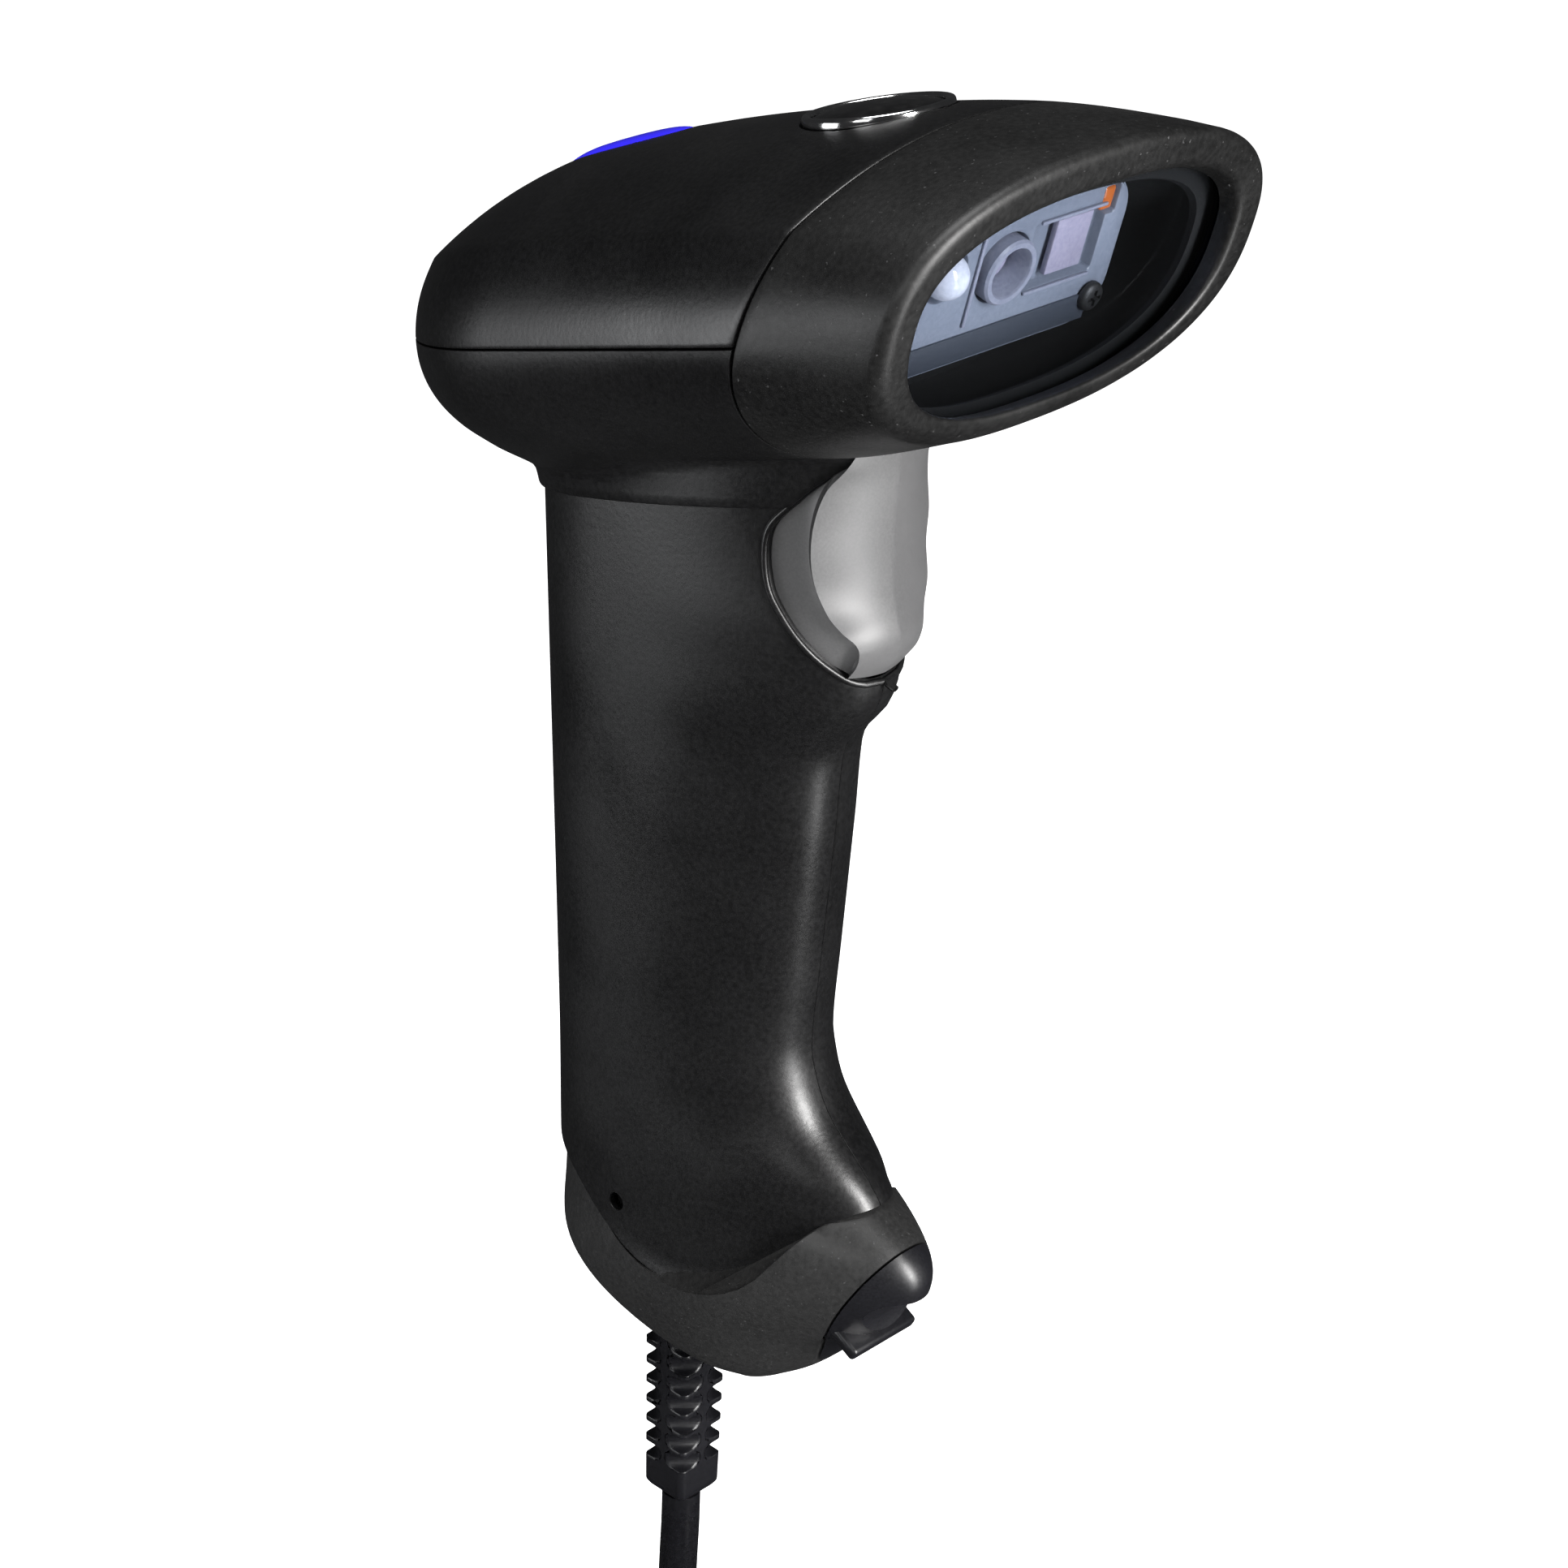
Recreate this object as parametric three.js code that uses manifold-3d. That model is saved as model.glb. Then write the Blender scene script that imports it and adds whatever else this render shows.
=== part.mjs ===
// Handheld barcode scanner with a trigger and a USB cord.
// Millimetres, +Z up, the scanner looks along -Y and is symmetric about X = 0.
// The origin is the middle of the hand grip.
import * as THREE from 'three';
import { mergeVertices } from 'three/addons/utils/BufferGeometryUtils.js';
import Module from 'manifold-3d';

const wasm = await Module();
wasm.setup();

// ---- driving dimensions: shells ----
const gap = 0.3;                    // between pieces that meet
const wall = 2.2;                   // casing wall
const partingHeight = 67.9;         // parting plane over the origin
const pitch = 0.237;                // rise of the head per mm towards the face
const lean = 0.297;                 // forward lean of the face, radians
const headRear = -31.4;             // station of the rear pole (stations run forward from Y = 0)
const headShoulder = -2.8;          // station where the rear starts to close
const seamStation = 37.2;           // joint between casing and nose
const faceStation = 57.7;           // front rim of the nose
const headHalfWidth = 32.1;
const faceHalfWidth = 30.7;
const upperPower = 2.4;             // squareness of the head's sections over the parting line
const creaseAcross = 0.87;          // where side wall and roof meet, as shares of the section
const creaseUp = 0.6;
const creaseBow = 2.1;
const rearPower = 2.3;              // roundness of the rear end seen from above
const rearTopPower = 2.8;             // and seen from the side
const gripRear = 20.5;              // rear face of the grip
const gripHalfWidth = 13.5;
const gripBelly = 3.7;              // Y of the grip's widest line
const neckStep = 0.7;               // how far the neck stands proud of the grip
const neckHeight = 45.1;
const neckSlope = 0.17;
const neckFlare = 9;

// ---- driving dimensions: window, trigger, cap ----
const openingHalfWidth = 26;
const openingTop = 11.4;
const openingBottom = 15;
const openingPower = 2.5;           // squareness of the opening
const rimDepth = 3.2;               // from the face rim to the glass
const glassThickness = 1.5;
const glassLap = 1.6;               // glass beyond the opening, all round
const gasketThickness = 0.8;
const triggerInset = 1.1;           // trigger skin below the casing skin
const triggerWall = 1.8;
const triggerTuck = 2.6;            // how far the trigger runs back inside the casing
const triggerTravel = 4;            // degrees
const pivotY = -21;
const pivotZ = 60.5;
const pinRadius = 1.25;
const plugTravel = 12;
const capWall = 2;
const soundHoleRadius = 1.2;

// ---- driving dimensions: cord ----
const cordDiameter = 5.4;
const bootTilt = 0.05;              // radians, towards the rear
const bootTopSide = 8.3;
const bootEndSide = 7.4;
const ribPitch = 3.2;
const ribCount = 9;
const collarHeight = 6;
const bootY = 4.2;
const bootTopZ = -69.5;
const floorZ = -166;
const coilMeanRadius = 28;
const coilTurnsAcross = 3;
const coilTurnsHigh = 3;
const coilX = 0;
const coilY = -16;

// Smooth interpolation in a short list of [position, value] pairs.
function along(list, at) {
  if (at <= list[0][0]) return list[0][1];
  for (let i = 1; i < list.length; i += 1) {
    if (at > list[i][0]) continue;
    const [x0, y0] = list[i - 1];
    const [x1, y1] = list[i];
    const before = list[Math.max(i - 2, 0)];
    const after = list[Math.min(i + 1, list.length - 1)];
    const m0 = (y1 - before[1]) / (x1 - before[0]);
    const m1 = (after[1] - y0) / (after[0] - x0);
    const h = x1 - x0;
    const t = (at - x0) / h;
    const ease = t * t * (3 - 2 * t);
    return y0 + (y1 - y0) * ease + h * (m0 * t * (1 - t) ** 2 - m1 * t * t * (1 - t));
  }
  return list[list.length - 1][1];
}

const lerp = THREE.MathUtils.lerp;
const powered = (value, power) => Math.sign(value) * Math.abs(value) ** (2 / power);

// ---- solids ----

function toSolid(geometry) {
  const bare = geometry.index ? geometry.toNonIndexed() : geometry.clone();
  for (const name of Object.keys(bare.attributes)) {
    if (name !== 'position') bare.deleteAttribute(name);
  }
  const merged = mergeVertices(bare, 1e-4);
  const vertProperties = Float32Array.from(merged.attributes.position.array);
  const corners = Array.from(merged.index.array);
  const triVerts = [];
  for (let i = 0; i < corners.length; i += 3) {
    const [a, b, c] = corners.slice(i, i + 3);
    if (a !== b && b !== c && c !== a) triVerts.push(a, b, c);
  }
  const mesh = new wasm.Mesh({ numProp: 3, vertProperties, triVerts: Uint32Array.from(triVerts) });
  return new wasm.Manifold(mesh);
}

function toGeometry(solid) {
  const mesh = solid.getMesh();
  const geometry = new THREE.BufferGeometry();
  geometry.setAttribute('position', new THREE.BufferAttribute(Float32Array.from(mesh.vertProperties), 3));
  geometry.setIndex(Array.from(mesh.triVerts));
  return geometry;
}

// A closed skin through rings of equal point count, with a fan at each end.
function loft(rings) {
  const count = rings[0].length;
  const points = rings.flat();
  const faces = [];
  for (let r = 0; r + 1 < rings.length; r += 1) {
    for (let i = 0; i < count; i += 1) {
      const a = r * count + i;
      const b = r * count + (i + 1) % count;
      faces.push(a, b, a + count, b, b + count, a + count);
    }
  }
  for (const [ring, flip] of [[0, true], [rings.length - 1, false]]) {
    const centre = new THREE.Vector3();
    rings[ring].forEach((point) => centre.addScaledVector(point, 1 / count));
    points.push(centre);
    for (let i = 0; i < count; i += 1) {
      const a = ring * count + i;
      const b = ring * count + (i + 1) % count;
      faces.push(...(flip ? [b, a, points.length - 1] : [a, b, points.length - 1]));
    }
  }
  const geometry = new THREE.BufferGeometry().setFromPoints(points);
  geometry.setIndex(faces);
  const corner = (i) => points[faces[i]];
  let volume = 0;
  for (let i = 0; i < faces.length; i += 3) {
    volume += corner(i).dot(corner(i + 1).clone().cross(corner(i + 2)));
  }
  if (volume < 0) geometry.setIndex(faces.reverse());
  return toSolid(geometry);
}

function box(sizeX, sizeY, sizeZ, x, y, z, tilt = 0) {
  const geometry = new THREE.BoxGeometry(sizeX, sizeY, sizeZ);
  geometry.rotateX(tilt).translate(x, y, z);
  return toSolid(geometry);
}

// A cylinder from one point towards another, with an optional second radius.
function rod(from, to, radius, sides = 20, endRadius = radius) {
  const start = new THREE.Vector3(...from);
  const end = new THREE.Vector3(...to);
  const span = end.clone().sub(start);
  const geometry = new THREE.CylinderGeometry(endRadius, radius, span.length(), sides);
  const up = new THREE.Vector3(0, 1, 0);
  geometry.applyQuaternion(new THREE.Quaternion().setFromUnitVectors(up, span.clone().normalize()));
  const middle = start.add(end).multiplyScalar(0.5);
  return toSolid(geometry.translate(middle.x, middle.y, middle.z));
}

// Everything on the side of a plane that its normal points to.
function beyond(point, normal) {
  const size = 400;
  const geometry = new THREE.BoxGeometry(size, size, size).translate(0, 0, size / 2);
  const up = new THREE.Vector3(0, 0, 1);
  const direction = new THREE.Vector3(...normal).normalize();
  geometry.applyQuaternion(new THREE.Quaternion().setFromUnitVectors(up, direction));
  return toSolid(geometry.translate(...point));
}

// A side-view outline of [y, z] points, as wide as asked and centred on X = 0.
function sideSlab(outline, width, centreX = 0) {
  const shape = new THREE.Shape(outline.map(([y, z]) => new THREE.Vector2(y, z)));
  const geometry = new THREE.ExtrudeGeometry(shape, { depth: width, bevelEnabled: false });
  const turn = new THREE.Matrix4().makeBasis(
    new THREE.Vector3(0, 1, 0), new THREE.Vector3(0, 0, 1), new THREE.Vector3(1, 0, 0));
  geometry.applyMatrix4(turn).translate(centreX - width / 2, 0, 0);
  return toSolid(geometry);
}

// The same outline read as a smooth curve, with its closing corners added after it.
function curved(points, corners, steps = 26) {
  const curve = new THREE.SplineCurve(points.map(([y, z]) => new THREE.Vector2(y, z)));
  return [...curve.getPoints(steps).map((p) => [p.x, p.y]), ...corners];
}

// ---- scene graph ----
const finishes = {
  casing: { color: 0x1c1e20, roughness: 0.55, metalness: 0 },
  nose: { color: 0x232427, roughness: 0.7, metalness: 0 },
  trigger: { color: 0x6f7173, roughness: 0.45, metalness: 0 },
  blueLens: { color: 0x2a2cf0, roughness: 0.25, metalness: 0 },
  chrome: { color: 0xa9adb2, roughness: 0.2, metalness: 1 },
  glass: { color: 0x8b93a0, roughness: 0.05, metalness: 0 },
  rubber: { color: 0x17181b, roughness: 0.6, metalness: 0 },
  board: { color: 0x1f5a38, roughness: 0.5, metalness: 0 },
  chip: { color: 0x15161a, roughness: 0.4, metalness: 0 },
  steel: { color: 0x9b9fa4, roughness: 0.3, metalness: 1 },
  ivory: { color: 0xd8d4c4, roughness: 0.5, metalness: 0 },
  engine: { color: 0x8e949d, roughness: 0.5, metalness: 0 },
  amber: { color: 0xc4632c, roughness: 0.4, metalness: 0 },
};
const materials = {};
for (const [name, finish] of Object.entries(finishes)) {
  materials[name] = new THREE.MeshStandardMaterial(finish);
}

const group = new THREE.Group();
const cordGroup = new THREE.Group();
const triggerGroup = new THREE.Group();
const engineGroup = new THREE.Group();
group.add(cordGroup, triggerGroup, engineGroup);

function add(name, solid, finish, parent = group) {
  const mesh = new THREE.Mesh(toGeometry(solid), materials[finish]);
  mesh.name = name;
  parent.add(mesh);
}

// ---- head sections ----
const sides = 28;
const leanSin = Math.sin(lean);
const leanCos = Math.cos(lean);
const headTops = [[-31, 15.8], [-5.4, 19.2], [10, 21.2], [21.2, 22.2], [seamStation, 21.2], [faceStation, 16.2]];
const headBottoms = [[-31, 20.5], [0, 20.9], [seamStation, 21.9], [faceStation, 17.7]];
const creaseAmounts = [[-30, 0.2], [-20, 1], [30, 1], [seamStation, 0.75], [faceStation - 6, 0]];
const lowerPowers = [[0, 2], [seamStation, 1.85], [faceStation, 2.5]];
const headWidths = [[-31, 31.2], [0, 31.8], [24, headHalfWidth], [seamStation, headHalfWidth],
  [faceStation, faceHalfWidth]];

// Sections stand upright at the rear and lean forward from the middle of the head on.
const leans = [[-14, 0], [0, lean * 0.35], [14, lean * 0.8], [26, lean], [faceStation, lean]];

// A point of the section plane at one station: x across, v up the plane.
function onSection(station, x, v) {
  const tilt = along(leans, station);
  return new THREE.Vector3(x, -station - v * Math.sin(tilt),
    partingHeight + pitch * station + v * Math.cos(tilt));
}

// Right upper quarter of a section: a side wall and a roof that meet in a soft crease.
function creased(turn, width, top) {
  const creaseAt = 0.42;
  const [creaseX, creaseV] = [creaseAcross * width, creaseUp * top];
  if (turn < creaseAt) {
    const t = turn / creaseAt;
    return [width - (width - creaseX) * t ** creaseBow, creaseV * t];
  }
  const t = (1 - turn) / (1 - creaseAt);
  return [creaseX * t, top - (top - creaseV) * t ** creaseBow];
}

function headRing(station, inset = 0) {
  const closing = (headShoulder - station) / (headShoulder - headRear - inset);
  const reach = Math.min(Math.max(closing, 0), 0.996);
  const close = (1 - reach ** rearPower) ** (1 / rearPower);
  const closeTop = (1 - reach ** rearTopPower) ** (1 / rearTopPower);
  const width = (along(headWidths, station) - inset) * close;
  const top = (along(headTops, station) - inset) * closeTop;
  const bottom = (along(headBottoms, station) - inset) * close;
  const ring = [];
  for (let i = 0; i < sides; i += 1) {
    const angle = (i / sides) * 2 * Math.PI;
    const above = Math.sin(angle) > 0;
    const power = above ? upperPower : along(lowerPowers, station);
    let v = powered(Math.sin(angle), power) * (above ? top : bottom);
    let x = width * powered(Math.cos(angle), power);
    if (above) {
      const turn = 1 - Math.abs(angle - Math.PI / 2) / (Math.PI / 2);
      const [sharpX, sharpV] = creased(turn, width, top);
      x = lerp(x, Math.sign(x) * sharpX, along(creaseAmounts, station));
      v = lerp(v, sharpV, along(creaseAmounts, station));
    }
    ring.push(onSection(station, x, v));
  }
  return ring;
}

// The head from its rear pole to a station, its skin moved in by inset.
function headLoft(toStation, inset = 0) {
  const stations = [];
  const closingSteps = 7;
  const rear = headShoulder - headRear - inset;
  for (let i = closingSteps; i > 0; i -= 1) {
    stations.push(headShoulder - rear * Math.sin((i / closingSteps) * 1.5));
  }
  for (const station of [headShoulder, 10, 24, toStation]) stations.push(station);
  return loft(stations.map((station) => headRing(station, inset)));
}

const sectionNormal = [0, -leanCos, -leanSin];
const partingNormal = [0, pitch, 1];
const beforeStation = (station) => beyond([0, -station, partingHeight + pitch * station],
  sectionNormal.map((value) => -value));
const overParting = (shift) => beyond([0, 0, partingHeight + shift], partingNormal);
const underParting = (shift) => beyond([0, 0, partingHeight - shift], partingNormal.map((v) => -v));

// ---- grip sections ----
const gripFronts = [[-46.5, -30.2], [-43.7, -29.6], [-41.7, -28.5], [-34.6, -21.4], [-28.6, -18.8], [-25, -18.5],
  [-14.6, -19.8], [5, -22.3], [15.3, -23.5], [18.1, -24.8], [21.8, -28.1], [25.1, -29.6], [28.8, -30.4],
  [33.5, -32.6], [41, -31], [46.5, -30.8], [55.8, -31.6], [61.4, -32.4]];
const gripTapers = [[-50, 0.35], [-38, 0.22], [-24, 0.12], [60, 0.12]];
const gripWidths = [[-62, gripHalfWidth + 0.7], [-46, gripHalfWidth + 0.4], [-30, gripHalfWidth],
  [60, gripHalfWidth]];

// A level ring with its own front and rear, narrowed towards the front by taper.
function levelRing({ z, front, rear, belly, half, taper, inset = 0, frontPower = 2.3, rearPower: back = 2.6 }) {
  const ring = [];
  for (let i = 0; i < sides; i += 1) {
    const angle = (i / sides) * 2 * Math.PI;
    const ahead = Math.sin(angle) < 0;
    const power = ahead ? frontPower : back;
    const depth = ahead ? belly - front - inset : rear - belly - inset;
    const reach = powered(Math.sin(angle), power);
    const narrow = ahead ? 1 - taper * reach * reach : 1;
    const x = (half - inset) * powered(Math.cos(angle), power) * narrow;
    ring.push(new THREE.Vector3(x, belly + depth * reach, z));
  }
  return ring;
}

function gripRing(z, inset = 0) {
  return levelRing({ z, inset, front: along(gripFronts, z), rear: gripRear, belly: gripBelly,
    half: along(gripWidths, z), taper: along(gripTapers, z) });
}

function gripLoft(bottom, top, inset = 0) {
  const levels = gripFronts.map(([z]) => z).filter((z) => z > bottom + 1 && z < top - 1);
  return loft([bottom, ...levels, top].map((z) => gripRing(z, inset)));
}

// The neck is the grip's own section, proud of it and flaring up into the head at the rear.
function neckRing(z, bottom, top, inset) {
  const flare = neckFlare * ((z - bottom) / (top - bottom)) ** 3;
  const middle = new THREE.Vector3(0, gripBelly, z);
  return gripRing(z, inset - neckStep).map((point) => {
    const out = point.clone().sub(middle).normalize();
    return point.addScaledVector(out, flare * THREE.MathUtils.smoothstep(point.y, gripBelly - 20, gripRear));
  });
}

function neckLoft(inset = 0) {
  const bottom = neckHeight - 6;
  const top = neckHeight + 7;
  const levels = [0, 0.25, 0.45, 0.65, 0.85, 1].map((t) => lerp(bottom, top, t));
  const skirt = beyond([0, 0, neckHeight], [0, neckSlope, 1]);
  return loft(levels.map((z) => neckRing(z, bottom, top, inset))).intersect(skirt)
    .intersect(beforeStation(seamStation - gap / 2));
}

// ---- end cap sections ----
const capFronts = [[-37, -22], [-41, -25.5], [-44.6, -29.2], [-48.5, -35.2], [-51.5, -37.6], [-54.8, -37.4], [-57.7, -35.6],
  [-61.4, -31.8], [-65, -27.4], [-68.8, -23.7], [-72.5, -19.5], [-76.3, -14]];
const capRears = [[-42, 20.2], [-54, 21], [-61.4, 21.2], [-65, 19.5], [-67.9, 16.3], [-70.7, 10.7],
  [-73.5, 2.8], [-76.3, -6.5]];
const capWidths = [[-42, gripHalfWidth + 0.1], [-55.8, gripHalfWidth + 0.8], [-61.4, gripHalfWidth + 0.8], [-65, gripHalfWidth + 0.3], [-69.8, gripHalfWidth - 1.6], [-73.5, gripHalfWidth - 4.4],
  [-76.3, gripHalfWidth - 8.8]];

const rising = (list) => [...list].sort((a, b) => a[0] - b[0]);

function capRing(z, inset = 0) {
  const front = along(rising(capFronts), z);
  const rear = along(rising(capRears), z);
  return levelRing({ z, inset, front, rear, belly: lerp(front, rear, 0.55), half: along(rising(capWidths), z),
    taper: 0.4 });
}

function capLoft(inset = 0, top = -37) {
  const levels = rising(capFronts).map(([z]) => z).filter((z) => z > -76.3 + inset && z < top);
  return loft([-76.3 + inset, ...levels, top].map((z) => capRing(z, inset)));
}

// Line where the grip's skirt meets the end cap, seen from the side.
const skirtLine = [[30, -45], [20, -46.5], [14, -49.2], [10, -51.5], [6, -54.6], [0, -58.2], [-6, -59.6],
  [-10.4, -59.4], [-14.8, -58], [-19.2, -55], [-22.6, -50.8], [-26, -46.4], [-30, -44.3], [-36, -43.8], [-44, -43.6]];
const shifted = (list, dy, dz) => list.map(([y, z]) => [y + dy, z + dz]);
const overSkirt = (shift) => sideSlab(curved(shifted(skirtLine, 0, shift), [[-44, 120], [30, 120]], 34), 90);
const underSkirt = (shift) => sideSlab(curved(shifted(skirtLine, 0, -shift), [[-44, -120], [30, -120]], 34), 90);

// ---- trigger opening, seen from the side ----
const openingLine = [[-40, 58.5], [-33, 56.6], [-27.7, 53.3], [-23.6, 49.3], [-21, 46.1], [-20.4, 42.5],
  [-21, 38.6], [-22.8, 35.4], [-25.1, 32.2], [-27.2, 29.4], [-29.2, 27.3], [-32, 26.2], [-46, 26]];
const openingHalf = 12.6;
const triggerOpening = sideSlab(curved(openingLine, [[-60, 26], [-60, 58.5]]), 2 * openingHalf);

function noseOuter(inset) {
  const start = seamStation + gap / 2 + inset / 2;
  const stations = [start, lerp(seamStation, faceStation, 0.3), lerp(seamStation, faceStation, 0.7), faceStation];
  return loft(stations.map((station) => headRing(station, inset)));
}

// ---- outer bodies ----
const triggerSweep = gripLoft(25, 61.4, triggerInset - gap).intersect(
  sideSlab([[-60, 26.3], [-60, 64], [-16, 64], [-16, 33], [-26, 26.3]], 60));
const headCavity = headLoft(seamStation + 2, wall);
const gripCavity = gripLoft(-60, 62, wall);
const headLower = headLoft(seamStation).intersect(underParting(gap / 2))
  .intersect(beforeStation(seamStation - gap / 2));
const lowerOuter = headLower.add(neckLoft().add(gripLoft(-62, 58)).subtract(noseOuter(-gap)))
  .intersect(overSkirt(gap / 2));

// Room for the trigger's arms through the floor of the head.
const yokeSlot = box(15.4, 18, 8.5, 0, -31, 56);

// Posts for the screws that pull the casing halves together, as [y, z].
const caseScrews = [[13.2, 34], [13.2, -2], [13.2, -36]];
const postRadius = 3;
const screwRadius = 1.25;
const screwHeadRadius = 2.4;

function caseHalf(side) {
  const keep = beyond([side * gap / 2, 0, 0], [side, 0, 0]);
  let half = lowerOuter.subtract(headCavity).subtract(gripCavity);
  const posts = caseScrews.map(([y, z]) => rod([side * gap / 2, y, z], [side * (gripHalfWidth - 1), y, z], postRadius));
  for (const post of posts) half = half.add(post.intersect(lowerOuter));
  half = half.subtract(triggerOpening).subtract(triggerSweep).subtract(yokeSlot).intersect(keep);
  for (const [y, z] of caseScrews) {
    const reach = side > 0 ? 40 : 8.5;
    half = half.subtract(rod([side * -1, y, z], [side * reach, y, z], screwRadius + gap / 2, 16));
    if (side > 0) half = half.subtract(rod([9.3, y, z], [30, y, z], screwHeadRadius + gap, 16));
  }
  const ear = rod([side * 7.2, pivotY, pivotZ], [side * (gripHalfWidth - 3.9), pivotY, pivotZ], 3.2).add(
    box(2.4, 4.4, 9, side * 8.4, pivotY + 1, pivotZ - 4.4));
  half = half.add(ear.subtract(triggerOpening));
  half = half.subtract(rod([side * 5, pivotY, pivotZ], [side * 12, pivotY, pivotZ], pinRadius + gap / 2, 16));
  if (side < 0) half = half.subtract(rod([-20, 2.8, -51.5], [-8, 2.8, -51.5], soundHoleRadius, 14));
  return half;
}

function topCover() {
  const skin = headLoft(seamStation).subtract(headCavity).intersect(overParting(gap / 2))
    .intersect(beforeStation(seamStation - gap / 2));
  return skin.subtract(lensSeat(gap)).subtract(badgeSeat(gap));
}

// Top skin height over the middle of the head, at one station.
const topPoint = (station) => onSection(station, 0, along(headTops, station));

// ---- indicator lens and badge on the top ----
const lensStation = -12;
const lensHalf = [5.5, 10];
const lensProud = 0.5;
const badgeStation = 21.8;
const badgeRadius = 8.6;
const badgeRingWidth = 1.1;

// A frame sitting on the top skin: its Z axis leaves the skin, its Y axis follows the skin back.
function topFrame(station) {
  const step = 3;
  const here = topPoint(station);
  const back = topPoint(station - step).sub(topPoint(station + step)).normalize();
  const across = new THREE.Vector3(1, 0, 0);
  const out = across.clone().cross(back).normalize();
  return new THREE.Matrix4().makeBasis(across, back, out).setPosition(here);
}

function ovalPrism(frame, halfX, halfY, low, high, count = 28, crown = 0) {
  const levels = crown ? [[low, 1], [high, 1], [high + crown * 0.7, 0.72], [high + crown, 0.2]] : [[low, 1], [high, 1]];
  const rings = levels.map(([z, scale]) => {
    const ring = [];
    for (let i = 0; i < count; i += 1) {
      const angle = (i / count) * 2 * Math.PI;
      const point = new THREE.Vector3(halfX * scale * Math.cos(angle), halfY * scale * Math.sin(angle), z);
      ring.push(point.applyMatrix4(frame));
    }
    return ring;
  });
  return loft(rings);
}

const lensSeat = (extra) => ovalPrism(topFrame(lensStation), lensHalf[0] + extra, lensHalf[1] + extra, -10, 8);
const badgeSeat = (extra) => ovalPrism(topFrame(badgeStation), badgeRadius + extra, badgeRadius + extra, -1.3, 8);

// The lens follows the skin, stands a little proud and has a flange under the cover.
function indicatorLens() {
  const face = headLoft(seamStation, -lensProud).subtract(headLoft(seamStation, wall + 0.9)).intersect(lensSeat(0));
  const flange = headLoft(seamStation, wall + gap).subtract(headLoft(seamStation, wall + 1.5)).intersect(lensSeat(1.5));
  return face.add(flange);
}

function badgeRing() {
  const frame = topFrame(badgeStation);
  const inner = badgeRadius - badgeRingWidth;
  return ovalPrism(frame, badgeRadius, badgeRadius, -1, 0.35, 36).subtract(ovalPrism(frame, inner, inner, -3, 3, 36));
}

function badgePlate() {
  const radius = badgeRadius - badgeRingWidth - gap;
  return ovalPrism(topFrame(badgeStation), radius, radius, -1, 0, 36, 1.3);
}

// ---- nose, glass and gasket ----
function openingRing(station, grow) {
  const ring = [];
  for (let i = 0; i < sides; i += 1) {
    const angle = (i / sides) * 2 * Math.PI;
    const v = powered(Math.sin(angle), openingPower);
    const x = (openingHalfWidth + grow) * powered(Math.cos(angle), openingPower);
    ring.push(onSection(station, x, v * ((v > 0 ? openingTop : openingBottom) + grow)));
  }
  return ring;
}

const glassFront = faceStation - rimDepth;
const glassBack = glassFront - glassThickness;
const openingPrism = (from, to, grow) => loft([openingRing(from, grow), openingRing(to, grow)]);

function noseBezel() {
  const outer = noseOuter(0);
  const cavityEnd = glassBack - gasketThickness - 2 * gap;
  const cavityStations = [seamStation - 2, lerp(seamStation, faceStation, 0.4), cavityEnd];
  const cavity = loft(cavityStations.map((station) => headRing(station, wall)));
  const glassRoom = openingPrism(glassFront + gap, cavityEnd - 0.5, glassLap + gap);
  return outer.subtract(cavity).subtract(glassRoom).subtract(openingPrism(faceStation + 3, glassFront - 1, 0))
    .subtract(badgeSeat(gap));
}

const windowGlass = () => openingPrism(glassFront, glassBack, glassLap);

function windowGasket() {
  const front = glassBack - gap;
  const back = front - gasketThickness;
  return openingPrism(front, back, glassLap).subtract(openingPrism(front + 2, back - 2, -1.2));
}

// ---- trigger ----
function trigger() {
  const low = 27;
  const outer = gripLoft(low, 58.6, triggerInset);
  const inner = gripLoft(low + triggerWall, 64, triggerInset + triggerWall);
  const keep = curved(shifted(openingLine, triggerTuck, 0), [[-60, 26], [-60, 58.5]]);
  const lowEdge = curved([[-46, 27.1], [-32, 27.4], [-28.5, 28.5], [-26, 30.6], [-22, 34.6], [-18, 40]],
    [[-14, 62], [-46, 62]]);
  let piece = outer.subtract(inner).intersect(sideSlab(keep, 60)).intersect(sideSlab(lowEdge, 60));
  const arm = sideSlab([[-30, 53.5], [-24, 52.5], [-19.4, 58], [-19.4, 61], [-23, 62], [-30, 56]], 13.2);
  const rib = box(2.4, 8, 22, 0, -26.5, 44);
  for (const part of [rod([-6.6, pivotY, pivotZ], [6.6, pivotY, pivotZ], 2.9), arm, rib]) piece = piece.add(part);
  piece = piece.subtract(box(springWidth + 2 * gap, 9, 12, springX, pivotY, pivotZ));
  piece = piece.subtract(noseOuter(-gap));
  return piece.subtract(rod([-8, pivotY, pivotZ], [8, pivotY, pivotZ], pinRadius + gap / 2, 16));
}

// ---- end cap and its pull-out plug ----
const plugLine = [[-37.6, -44.4], [-21, -71.4]];
const plugOut = new THREE.Vector2(plugLine[1][1] - plugLine[0][1], plugLine[0][0] - plugLine[1][0]).normalize();
const plugNormal = [0, plugOut.x, plugOut.y];
const plugMiddle = [(plugLine[0][0] + plugLine[1][0]) / 2, (plugLine[0][1] + plugLine[1][1]) / 2];
const spigot = { width: 11, height: 13, depth: 5, hollow: 1.6 };

function alongPlug(out, up = 0) {
  return [0, plugMiddle[0] + plugOut.x * out + plugOut.y * up, plugMiddle[1] + plugOut.y * out - plugOut.x * up];
}

const plugTilt = Math.atan2(plugOut.y, plugOut.x) - Math.PI;

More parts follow.
